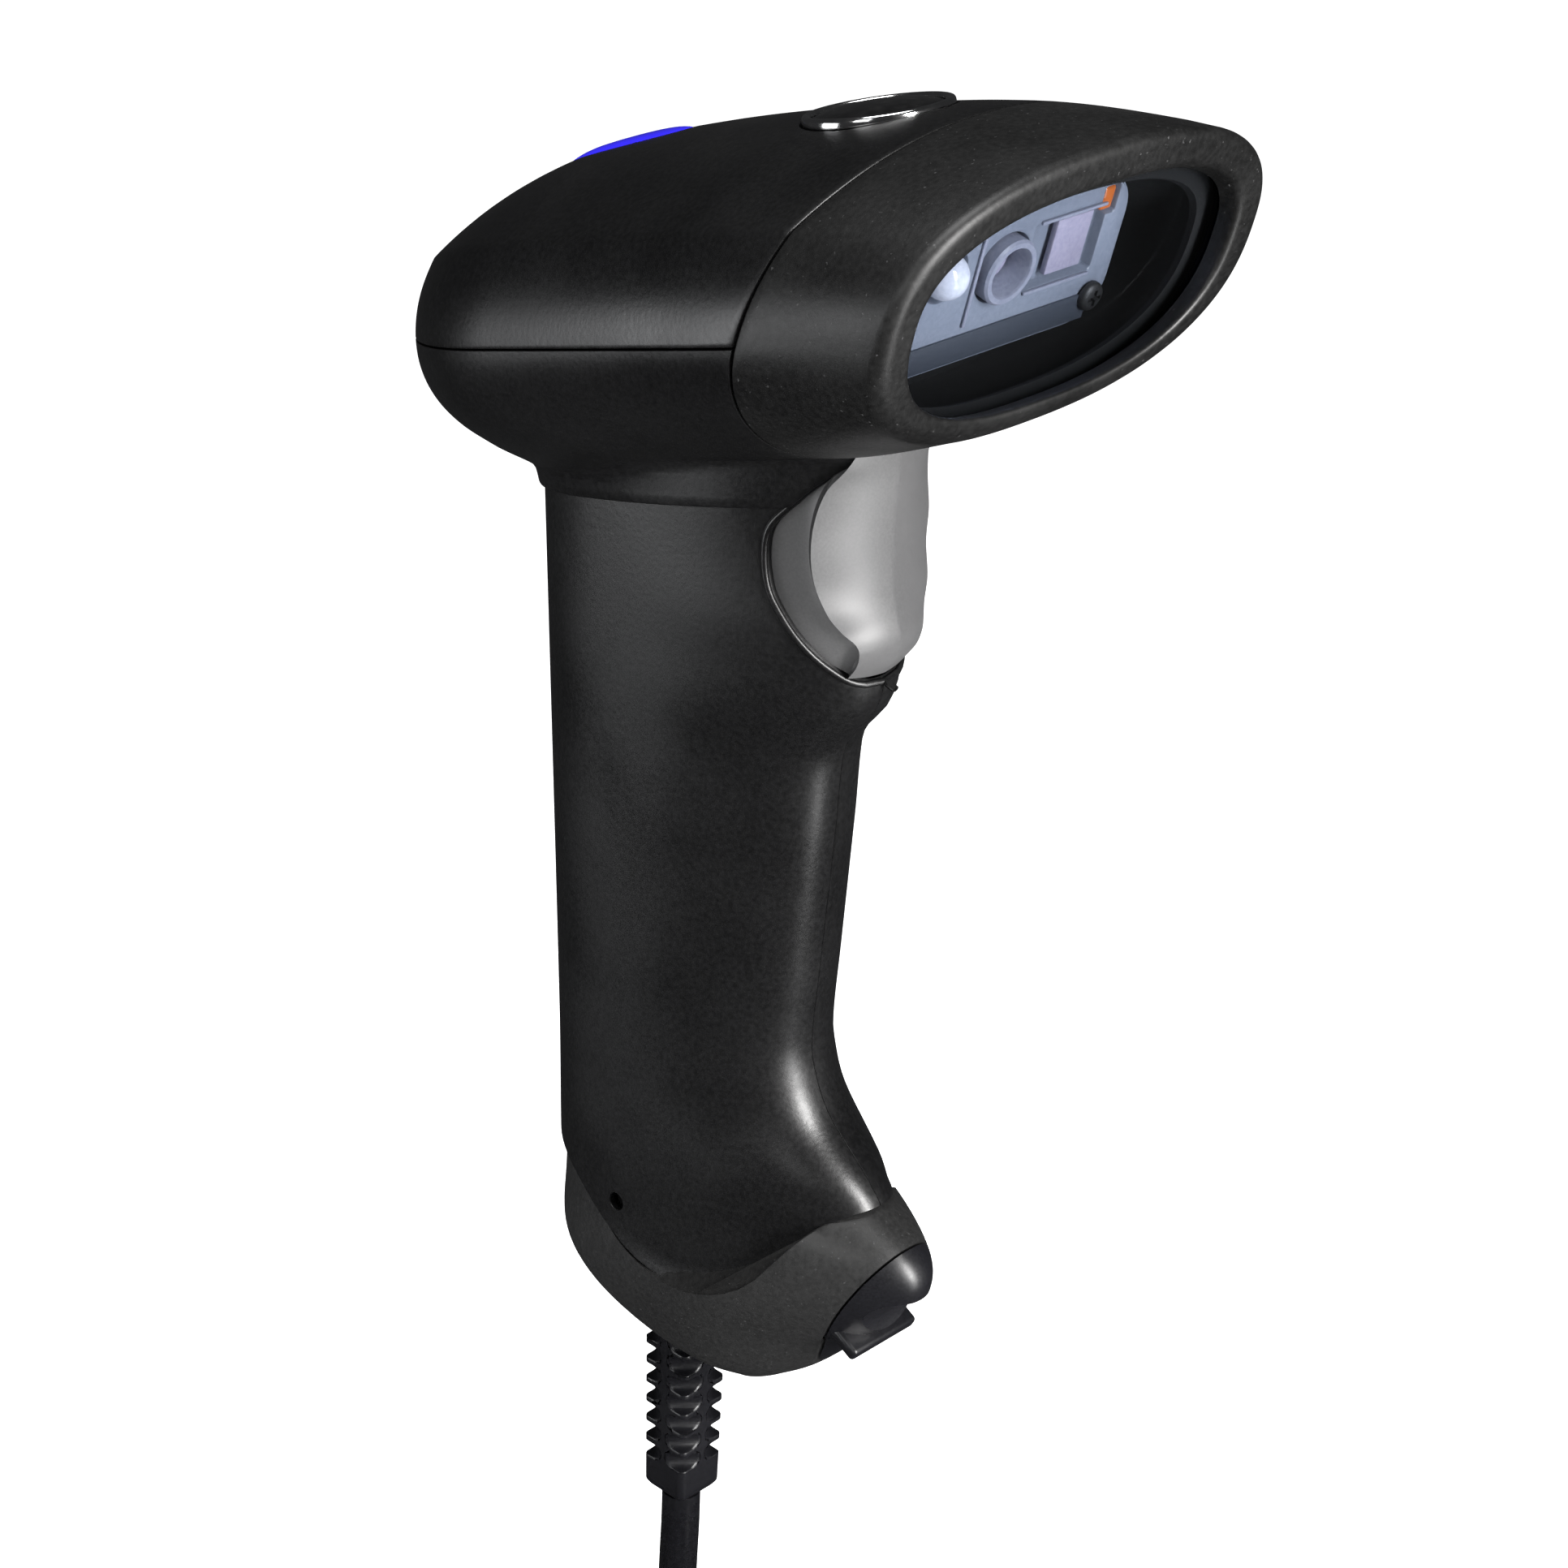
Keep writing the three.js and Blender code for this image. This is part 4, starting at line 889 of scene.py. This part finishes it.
def halfOf(bm, side):  # facing outwards, with a hair of clearance to the other half
    half = bm.copy()
    trimmed(half, (side * 0.03, 0, 0), (side, 0, 0), inner=True)
    outward(half)
    if sum(f.normal.x * side * f.calc_area() for f in half.faces) < 0:
        bmesh.ops.reverse_faces(half, faces=half.faces)
    return half


caseScrews = [(13.2, 34), (13.2, -2), (13.2, -36)]
screwWell = {"radius": 2.7, "bottomX": 9.4}
soundHole = {"y": 2.8, "z": -51.5, "radius": 1.2}


def screwWellAt(bm, y, z, radius, bottomX):  # a round wall from the grip's skin down to the screw's seat
    def place(u, v):
        at = (y + radius * math.cos(2 * math.pi * u), z + radius * math.sin(2 * math.pi * u))
        return Vector((lerp(gripHalfAt(*at) - 0.12, bottomX, v), *at))

    skin(bm, 32, 2, place)


def makeCasing():
    upper, lower = casingSkins()
    seamNormal = Vector((0, -math.cos(head["lean"]), -math.sin(head["lean"])))
    trimmed(upper, onSection(head["seam"] - gap / 2, 0, 0), seamNormal)
    for side, name, node in ((-1, "casingRight", "body_right"), (1, "casingLeft", "body_left")):
        parts = []
        for label, whole in (("Upper", upper), ("Lower", lower)):
            half = halfOf(whole, side)
            steps = [walls(0.8), carve(openingTool())]
            if label == "Lower":
                holes = bmesh.new()
                if side < 0:
                    y, z = soundHole["y"], soundHole["z"]
                    rod(holes, (-20, y, z), (-6, y, z), soundHole["radius"])
                else:
                    for y, z in caseScrews:
                        rod(holes, (9, y, z), (30, y, z), screwWell["radius"], 40)
                steps.append(carve(cutter("holes", holes)))
            steps.append(rounded(0.05, 1, 45))
            parts.append(finished(name + label, half, "casing", None, modifiers=steps, keep=True))
            dropTools()
        bm = reopened(parts)
        if side > 0:
            bottomX = screwWell["bottomX"]
            for y, z in caseScrews:
                screwWellAt(bm, y, z, screwWell["radius"] + 0.02, bottomX)
                rod(bm, (bottomX, y, z), (bottomX - 0.2, y, z), screwWell["radius"] + 0.1)
        # bead round the trigger opening
        line = splineThrough([(0, y, z) for y, z in opening["line"][2:-1]], 70)
        bead = []
        for p in line:
            upperY = p.y + 0.35
            bead.append((side * (gripHalfAt(upperY, p.z) - 0.12), upperY, p.z))
        tubeAlong(bm, bead, opening["bead"], 10)
        finished(name, bm, "casing", "scanner", [node])
        print(name, "made")


makeCasing()


def makeSoundHoleShade():  # a near-black disc behind the sound hole, painted shade for the dark inside seen through it
    bm = bmesh.new()
    y, z = soundHole["y"], soundHole["z"]
    tubeAlong(bm, [(-12.4, y, z), (-10.6, y, z)], soundHole["radius"] + 0.3, 28)
    outward(bm)
    finished("soundHoleShade", bm, "blackPartsAndShade", "scanner")


makeSoundHoleShade()


def makeTopCover():
    bm = bmesh.new()

    def place(u, v):
        angle = lerp(math.asin(0.004), math.pi - math.asin(0.004), u)
        return headPoint(headStation(v), angle)

    skin(bm, 96, 60, place)
    outward(bm)
    if sum(f.normal.z * f.calc_area() for f in bm.faces) < 0:
        bmesh.ops.reverse_faces(bm, faces=bm.faces)
    finished("topCover", bm, "casing", "scanner", ["top_cover"], modifiers=[
        walls(1.6), carve(lensTool()), carve(badgeTool()), rounded(0.2, 2, 45)])
    dropTools()
    print("top cover made")


lens = {"station": -12, "half": (5.5, 10), "proud": 0.5}
badge = {"station": 21.8, "radius": 8.6, "ring": 1.1}


def topFrame(station):
    def top(s):
        return onSection(s, 0, along(head["tops"], s))
    back = (top(station - 3) - top(station + 3)).normalized()
    across = Vector((1, 0, 0))
    out = across.cross(back).normalized()
    frameAt = Matrix((across, back, out)).transposed().to_4x4()
    frameAt.translation = top(station)
    return frameAt


def ovalTool(name, frameAt, halfX, halfY, low, high):
    bm = bmesh.new()
    bmesh.ops.create_cone(bm, cap_ends=True, segments=72, radius1=1, radius2=1, depth=high - low)
    bmesh.ops.scale(bm, vec=(halfX, halfY, 1), verts=bm.verts)
    bmesh.ops.translate(bm, verts=bm.verts, vec=(0, 0, (low + high) / 2))
    bmesh.ops.transform(bm, matrix=frameAt, verts=bm.verts)
    return cutter(name, bm)


def lensTool():
    return ovalTool("lensSeat", topFrame(lens["station"]), lens["half"][0] + gap, lens["half"][1] + gap, -10, 8)


def badgeTool():
    size = badge["radius"] + 0.25
    return ovalTool("badgeSeat", topFrame(badge["station"]), size, size, -1.2, 8)


makeTopCover()


def headTree():
    bm = bmesh.new()
    skin(bm, 96, 60, lambda u, v: headPoint(headStation(v), math.pi * u))
    tree = BVHTree.FromBMesh(bm)
    bm.free()
    return tree


def makeIndicator():
    tree, seat = headTree(), topFrame(lens["station"])
    down = -(seat.to_3x3() @ Vector((0, 0, 1)))
    bm = bmesh.new()

    def place(u, v):
        angle = 2 * math.pi * u
        flat = seat @ Vector((lens["half"][0] * v * math.cos(angle), lens["half"][1] * v * math.sin(angle), 12))
        hit = tree.ray_cast(flat, down)[0]
        crown = lens["proud"] * (1 - v ** 6)
        return hit - down * (crown - 0.05)

    skin(bm, 64, 14, place)
    outward(bm)
    if sum(f.normal.z for f in bm.faces) < 0:
        bmesh.ops.reverse_faces(bm, faces=bm.faces)
    finished("indicatorLens", bm, "lamp", "scanner", ["indicator_lens"], modifiers=[
        walls(1.8), rounded(0.25, 2, 50)])


def makeBadge():
    seat = topFrame(badge["station"])
    radius, ringWidth = badge["radius"], badge["ring"]
    bm = bmesh.new()

    def ring(u, v):
        angle, turn = 2 * math.pi * u, 2 * math.pi * v
        r = radius - ringWidth / 2 + powered(math.cos(turn), 3) * ringWidth / 2
        z = -0.3 + powered(math.sin(turn), 3) * 0.75
        return seat @ Vector((r * math.cos(angle), r * math.sin(angle), z))

    skin(bm, 96, 20, ring)
    outward(bm)
    finished("badgeRing", bm, "chrome", "scanner", ["badge_ring"])
    bm = bmesh.new()

    def dome(u, v):
        angle = 2 * math.pi * u
        r = (radius - ringWidth - 0.2) * min(v * 1.12, 1)
        drop = 0 if v < 0.893 else (v - 0.893) * 10
        z = 1.25 * (1 - (r / (radius - ringWidth)) ** 2) ** 0.5 - 0.35 - drop
        return seat @ Vector((r * math.cos(angle), r * math.sin(angle), z))

    skin(bm, 72, 28, dome)
    outward(bm)
    finished("badgeDome", bm, "darkChrome", "scanner", ["badge_plate"])


makeIndicator()
makeBadge()
print("top fittings made")


# ---- nose, glass and gasket ----
mouth = {"halfWidth": 26, "top": 11.4, "bottom": 15, "power": 2.5, "glass": 54.5, "thick": 1.5, "lap": 1.6,
         "rim": 1.9, "lipRound": 0.9}


def mouthPoint(station, angle, grow=0.0):
    height = (mouth["top"] if math.sin(angle) > 0 else mouth["bottom"]) + grow
    return onSection(station, (mouth["halfWidth"] + grow) * powered(math.cos(angle), mouth["power"]),
                     height * powered(math.sin(angle), mouth["power"]))


def makeNose():
    start, face, rim, lip = head["seam"] + gap / 2, head["face"], mouth["rim"], mouth["lipRound"]
    rows = [("outer", start, 1.9), ("outer", start, 0.25), ("outer", start + 0.12, 0.06),
            ("outer", start + 0.3, 0)]
    for i in range(1, 15):
        rows.append(("outer", lerp(start + 0.3, face - rim, i / 14), 0))
    for i in range(1, 9):
        turn = i / 8 * math.pi / 2
        rows.append(("outer", face - rim + rim * math.sin(turn), rim * (1 - math.cos(turn)) * 0.9))
    for i in range(1, 6):
        rows.append(("face", face, i / 6))
    for i in range(6):
        turn = i / 5 * math.pi / 2
        rows.append(("mouth", face - lip + lip * math.cos(turn), lip * (1 - math.sin(turn))))
    rows.append(("mouth", mouth["glass"] + 1.2, 0))
    rows.append(("mouth", mouth["glass"] + gap, 0))
    rows.append(("mouth", mouth["glass"] + gap, 1.9))

    def place(u, v):
        angle = 2 * math.pi * u
        kind, station, value = rows[round(v * (len(rows) - 1))]
        if kind == "outer":
            return headPoint(station, angle, value)
        if kind == "mouth":
            return mouthPoint(station, angle, value)
        return headPoint(face, angle, rim * 0.9).lerp(mouthPoint(face, angle, lip), value)

    bm = bmesh.new()
    skin(bm, 200, len(rows) - 1, place)
    outward(bm)
    finished("noseBezel", bm, "nose", "scanner", ["nose_bezel"], creaseDeg=50)
    bm = bmesh.new()
    glass, back = mouth["glass"], mouth["glass"] - mouth["thick"]
    flatRows = [(glass, 0.0), (glass, 0.25), (glass, 0.5), (glass, 0.75), (glass, 0.93), (glass, 1.0),
                (glass - 0.15, 1.008), (back, 1.008), (back, 0.7), (back, 0.0)]

    def pane(u, v):
        station, share = flatRows[round(v * (len(flatRows) - 1))]
        edge = mouthPoint(station, 2 * math.pi * u, mouth["lap"] - 0.2)
        return onSection(station, 0, 0).lerp(edge, share)

    skin(bm, 120, len(flatRows) - 1, pane)
    outward(bm)
    finished("windowPane", bm, "pane", "scanner", ["window_glass"])
    front = back - gap
    ringRows = [(front, -1.2), (front, 1.5), (front - 1, 1.5), (front - 1, -1.2), (front, -1.2)]

    def ring(u, v):
        station, grow = ringRows[round(v * (len(ringRows) - 1))]
        return mouthPoint(station, 2 * math.pi * u, grow)

    bm = bmesh.new()
    skin(bm, 120, len(ringRows) - 1, ring)
    outward(bm)
    finished("windowGasket", bm, "blackPartsAndShade", "scanner", ["window_gasket"])
    # near-black baffle between the glass and the engine, painted shade for the dark inside of the nose
    shroud = [(front - 1.2, 0.6), (49, 0.4), (40, -1), (38.3, -2), (38.3, -8)]

    def baffle(u, v):
        at = v * 5
        if at >= 4.5:
            return onSection(38.3, 0, 0)
        station, grow = shroud[int(round(at))]
        return mouthPoint(station, 2 * math.pi * u, grow)

    bm = bmesh.new()
    skin(bm, 96, 5, baffle)
    outward(bm)
    bmesh.ops.reverse_faces(bm, faces=bm.faces)
    finished("noseShadeBaffle", bm, "blackPartsAndShade", "scanner")


makeNose()
print("nose made")


# ---- end cap and pull-out plug ----
cap = {
    "fronts": [(-76.3, -14), (-72.5, -19.5), (-68.8, -23.7), (-65, -27.4), (-61.4, -31.8), (-57.7, -35.6),
               (-54.8, -37.4), (-51.5, -37.6), (-48.5, -35.2), (-44.6, -29.2), (-41, -25.5), (-37, -22)],
    "rears": [(-76.3, -6.5), (-73.5, 2.8), (-70.7, 10.7), (-67.9, 16.3), (-65, 19.5), (-61.4, 21.2), (-54, 21),
              (-42, 20.2)],
    "widths": [(-76.3, 4.7), (-73.5, 9.1), (-69.8, 11.9), (-65, 13.8), (-61.4, 14.3), (-55.8, 14.3),
               (-42, 13.6)],
    "bottom": -76.3,
}
plugOut = Vector((0, -0.8519, -0.5237))
plugUp = Vector((0, -0.5237, 0.8519))
plugMiddle = Vector((0, -29.3, -57.9))
plugTurn = Matrix((Vector((1, 0, 0)), plugOut, plugUp)).transposed()


def capPoint(angle, z, inset=0.0):
    front, rear = along(cap["fronts"], z), along(cap["rears"], z)
    return levelPoint(angle, z, front, rear, lerp(front, rear, 0.55), along(cap["widths"], z), 0.4, inset)


def capSkin():
    bm = bmesh.new()
    rows = 46

    def place(u, v):
        angle = 2 * math.pi * u - math.pi / 2
        top = onSkirt(angle, -gap / 2, capPoint)
        row = round(v * (rows + 4))
        if row >= rows:  # the small flat underside
            share = (0.0, 0.12, 0.35, 0.7, 1.0)[row - rows]
            edge = capPoint(angle, cap["bottom"])
            middle = Vector((0, -10.2, cap["bottom"] - 0.12))
            return edge.lerp(middle, share)
        if row == 0:
            return capPoint(angle, top, 0.25)
        return capPoint(angle, lerp(top - 0.02, cap["bottom"], ((row - 1) / (rows - 1)) ** 0.95))

    skin(bm, 120, rows + 4, place)
    return bm


def makeCap():
    whole = capSkin()
    bm = whole.copy()
    trimmed(bm, plugMiddle - plugOut * gap / 2, plugOut)
    closed(bm)
    outward(bm)
    port = bmesh.new()
    block(port, (11.6, 14, 13.6), plugMiddle - plugOut, turn=plugTurn, soft=0.8)
    hole = bmesh.new()
    side = boot["topSide"] + 0.6
    block(hole, (side, side, 26), onBoot(7), soft=0.9)
    finished("endCap", bm, "cap", "scanner", ["end_cap"], modifiers=[
        carve(cutter("port", port)), carve(cutter("bootHole", hole))])
    dropTools()
    trimmed(whole, plugMiddle + plugOut * gap / 2, -plugOut)
    closed(whole)
    outward(whole)
    scoop = bmesh.new()
    middle = plugMiddle + plugOut * 7.4 + plugUp * 2.2
    rod(scoop, middle - Vector((6.4, 0, 0)), middle + Vector((6.4, 0, 0)), 5, 48)
    face = finished("plugFace", whole, "rubber", None, keep=True, modifiers=[
        carve(cutter("thumbScoop", scoop))])
    dropTools()
    bm = reopened([face])
    block(bm, (11, 5.6, 13), plugMiddle - plugOut * 2.2, turn=plugTurn, soft=0.6)
    block(bm, (11.6, 4.6, 1.9), plugMiddle + plugOut * 2.4 - plugUp * 3.9, turn=plugTurn, soft=0.6, segments=4)
    finished("portPlug", bm, "rubber", "cover_plug", ["port_plug"])


makeCap()
print("cap made")


# ---- trigger ----
pull = {
    "fronts": [(26, -28.6), (28, -30), (29.5, -31.2), (31.7, -32.2), (33.3, -32.4), (35.6, -31.9),
               (38.5, -31.3), (42.5, -31.1), (46.5, -31.2), (50.5, -31.6), (54.6, -32), (60, -32.4)],
    "creaseX": [(26, 5), (30, 5.2), (32, 5.4), (33.2, 5.8), (34.7, 7), (37.1, 8.5), (41, 9.5), (45, 10),
                (48.9, 9.5), (52.3, 8.5), (54.8, 7), (57, 5.6), (60, 4)],
    "creaseY": [(26, -27.2), (28, -28.6), (30, -30.2), (32, -30.9), (33.2, -30.7), (34.7, -29.7), (37.1, -28.8),
                (41, -27.6), (45, -27.5), (48.9, -27.7), (52.3, -28.6), (54.8, -30.2), (57, -31), (60, -31.8)],
    "lowLine": [(-46, 27.1), (-32, 27.4), (-28.5, 28.5), (-26, 30.6), (-22, 34.6), (-18, 40)],
    "crease": 0.46, "inset": 1.0, "noseHalf": 3.2, "wall": 1.5, "top": 59.4, "pinY": -21, "pinZ": 60.5,
}


def pullPoint(side, share, z, deep=0.0):
    # the trigger's skin from the middle of its scoop (0) to its hidden rear edge (1)
    front, creaseX, creaseY = (along(pull[k], z) for k in ("fronts", "creaseX", "creaseY"))
    if share <= pull["crease"]:
        t = share / pull["crease"]
        x, y = creaseX * t, lerp(front, creaseY, t * (0.35 + 0.65 * t))
    else:
        t = (share - pull["crease"]) / (1 - pull["crease"])
        y = lerp(creaseY, -17.6, t ** 1.25)
        at = min(z, 60)
        half, start = (max(gripHalfAt(place, at, pull["inset"]), pull["noseHalf"]) for place in (y, creaseY))
        x = half + (creaseX - start) * (1 - t) ** 5
    return Vector((side * max(x - deep * min(share * 1.6, 1), 0), y + deep * (1 - share ** 3), z))


def makeTrigger():
    def place(u, v):
        z = lerp(26.4, 60.5, v)
        around = u * 2  # outside from left to right, then back along the inside
        if around <= 1:
            return pullPoint(math.copysign(1, around - 0.5), abs(around - 0.5) * 2, z)
        return pullPoint(-math.copysign(1, around - 1.5), abs(around - 1.5) * 2, z, pull["wall"])

    bm = bmesh.new()
    skin(bm, 200, 80, place)
    closed(bm)
    outward(bm)
    low = splineThrough([(0, y, z) for y, z in pull["lowLine"]], 30)
    keep = bmesh.new()
    slab(keep, [(p.y, p.z) for p in low] + [(-14, pull["top"]), (-46, pull["top"])], 30)
    shell = finished("triggerShell", bm, "trigger", None, keep=True, modifiers=[
        carve(cutter("keep", keep), "INTERSECT")])
    dropTools()
    bm = reopened([shell])
    tubeAlong(bm, [(x, pull["pinY"], pull["pinZ"]) for x in (-6.6, 6.6)], 2.9, 32)  # the eye on the pin
    block(bm, (2.2, 6.4, 20), (0, -26.4, 44), soft=0.3)
    finished("triggerLever", bm, "trigger", "trigger_lever", ["trigger"], creaseDeg=32)


makeTrigger()
print("trigger made")


# ---- scan engine behind the glass ----
engine = {"station": 46, "size": (40, 19, 7), "corner": 5.5, "lensAt": (0, 1.6), "ledAt": (-9.6, 2.9),
          "pocketAt": (10.2, 1.6), "pocket": (12, 8.4), "paneX": 11.7, "markerAt": (16.4, 6.2),
          "screwAt": (17, -6)}
engineTurn = Matrix.Rotation(math.pi / 2 + head["lean"], 4, "X")
engineSeat = Matrix.Translation(onSection(engine["station"], 0, 0)) @ engineTurn


def placed(bm):
    outward(bm)
    bmesh.ops.transform(bm, matrix=engineSeat, verts=bm.verts)
    return bm


def makeEngine():
    width, height, depth = engine["size"]
    pocketX, pocketY = engine["pocketAt"]
    pocketWide, pocketHigh = engine["pocket"]
    screwX, screwY = engine["screwAt"]
    holes = bmesh.new()
    rod(holes, (*engine["lensAt"], -depth - 1), (*engine["lensAt"], 2), 4.3, 48)
    rod(holes, (*engine["ledAt"], -depth - 1), (*engine["ledAt"], 2), 3.3, 48)
    block(holes, (pocketWide, pocketHigh, 3.4), (pocketX, pocketY, 0), soft=0.4)
    block(holes, (2.6, 3.6, 4), (*engine["markerAt"], 0), soft=0.3)
    for side in (-1, 1):
        rod(holes, (side * screwX, screwY, -9), (side * screwX, screwY, 2), 1.1, 24)
    bmesh.ops.transform(holes, matrix=engineSeat, verts=holes.verts)
    bm = bmesh.new()
    block(bm, engine["size"], (0, 0, -depth / 2))
    upright = [e for e in bm.edges if abs(e.verts[0].co.z - e.verts[1].co.z) > 0.1]
    bmesh.ops.bevel(bm, geom=upright, offset=engine["corner"], offset_type="OFFSET", segments=8, profile=0.5,
                    affect="EDGES", material=-1)
    finished("engineFrame", placed(bm), "engine", "scanner", ["engine_frame"], modifiers=[
        carve(cutter("engineHoles", holes), thorough=True), rounded(0.25, 2, 40)])
    dropTools()
    bm = bmesh.new()
    block(bm, (width - 6, 3.4, 0.3), (0, -height / 2 + 2.2, 0.16), soft=0.1)
    finished("engineBand", placed(bm), "engineBand", "scanner")
    bm = bmesh.new()
    block(bm, (0.5, height - 6.5, 0.35), (-4.6, 1.6, 0.18), soft=0.12)
    for rise in (-1, 1):
        trimY = pocketY + rise * (pocketHigh / 2 + 0.25)
        block(bm, (pocketWide - 1, 0.4, 0.35), (pocketX, trimY, 0.18), soft=0.1)
    finished("engineTrimLines", placed(bm), "engineTrim", "scanner")
    bm = bmesh.new()
    turned(bm, [(4.0, -depth), (4.0, 1.1), (3.75, 1.4), (3.15, 1.4), (2.95, 1.1), (2.95, -3.4), (1.0, -3.9),
                (0.0, -3.9)], 56, engine["lensAt"])
    finished("lensBarrel", placed(bm), "engineTrim", "scanner", ["lens_barrel"])
    bm = bmesh.new()
    turned(bm, [(0.0, -0.9), (0.8, -0.95), (1.6, -1.1), (2.3, -1.4), (2.5, -1.6), (2.5, -3.3), (0.0, -3.3)], 48,
           engine["lensAt"])
    finished("frontLens", placed(bm), "optic", "scanner", ["front_lens"])
    bm = bmesh.new()
    tubeAlong(bm, [(*engine["lensAt"], -1.2), (*engine["lensAt"], -0.78)], 0.5, 20)
    finished("lensStop", placed(bm), "blackPartsAndShade", "scanner")
    bm = bmesh.new()
    dome = [(2.7 * math.sin(a), 2.7 * math.cos(a) - 0.2) for a in (i / 20 * math.pi for i in range(11))]
    turned(bm, dome + [(2.7, -6.2), (0, -6.2)], 40, engine["ledAt"])
    finished("ledDome", placed(bm), "bulb", "scanner", ["illumination_led"])
    bm = bmesh.new()
    block(bm, (6, 7, 0.8), (engine["paneX"], pocketY, -0.9), soft=0.2)
    finished("aimerPane", placed(bm), "optic", "scanner", ["aimer_pane"])
    bm = bmesh.new()
    block(bm, (2, 3, 1.4), (*engine["markerAt"], -1), soft=0.4, segments=3)
    finished("amberMarker", placed(bm), "amber", "scanner", ["amber_marker"])
    for side, name, node in ((-1, "engineScrewA", "engine_screw_1"), (1, "engineScrewB", "engine_screw_2")):
        seat = engineSeat @ Matrix.Translation((side * screwX, screwY, 0.3))
        makeScrew(name, seat, 1.8, 1.0, 0.8, 11, node, "chip")


def makeScrew(name, seat, headRadius, headHeight, shaftRadius, shaftLength, node, paint="steel"):
    # a pan head with a cross recess on a plain shaft
    bm = bmesh.new()
    turned(bm, [(0, headHeight), (headRadius * 0.6, headHeight * 0.96), (headRadius * 0.9, headHeight * 0.72),
                (headRadius, headHeight * 0.4), (headRadius, 0), (shaftRadius, 0),
                (shaftRadius, -shaftLength * 0.92), (shaftRadius * 0.5, -shaftLength), (0, -shaftLength)], 40)
    outward(bm)
    bmesh.ops.transform(bm, matrix=seat, verts=bm.verts)
    cross = bmesh.new()
    bar = headRadius * 1.15
    long, thin = bar / 2, bar / 8
    quarter = [(long, thin), (thin, thin), (thin, long)]
    outline = quarter + [(-x, y) for x, y in reversed(quarter)]
    outline += [(x, -y) for x, y in reversed(outline)]
    drawnOut(cross, [(x, y, headHeight * 0.35) for x, y in outline], (0, 0, headHeight * 2))
    outward(cross)
    bmesh.ops.transform(cross, matrix=seat, verts=cross.verts)
    finished(name, bm, paint, "scanner", [node], modifiers=[carve(cutter("cross", cross))])
    dropTools()


makeEngine()
for i, (y, z) in enumerate(caseScrews):
    seat = Matrix.Translation((9.6, y, z)) @ Matrix.Rotation(math.pi / 2, 4, "Y")
    makeScrew("caseScrew" + "ABC"[i], seat, 2.4, 1.4, 1.1, 16, "case_screw_%d" % (i + 1))
print("engine and screws made")

# ---- inner parts keep the model's shape and get their own finishes ----
innerFinishes = {
    "trigger_pin": "steel", "trigger_spring": "steel", "switch_plunger": "ivory", "trigger_switch": "chip",
    "trigger_board": "board", "engine_board": "board", "main_board": "board", "decoder_chip": "chip",
    "memory_chip": "chip", "cable_socket": "ivory", "cable_connector": "ivory", "beeper": "chip",
    "ribbon_cable": "ivory", "indicator_board": "board", "indicator_led": "ivory", "inner_cable": "cable",
}
for node, paint in innerFinishes.items():
    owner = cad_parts[node]
    if not owner.material_slots:
        owner.data.materials.append(paints[paint])
    for slot in owner.material_slots:
        slot.material = paints[paint]
print("inner parts painted")
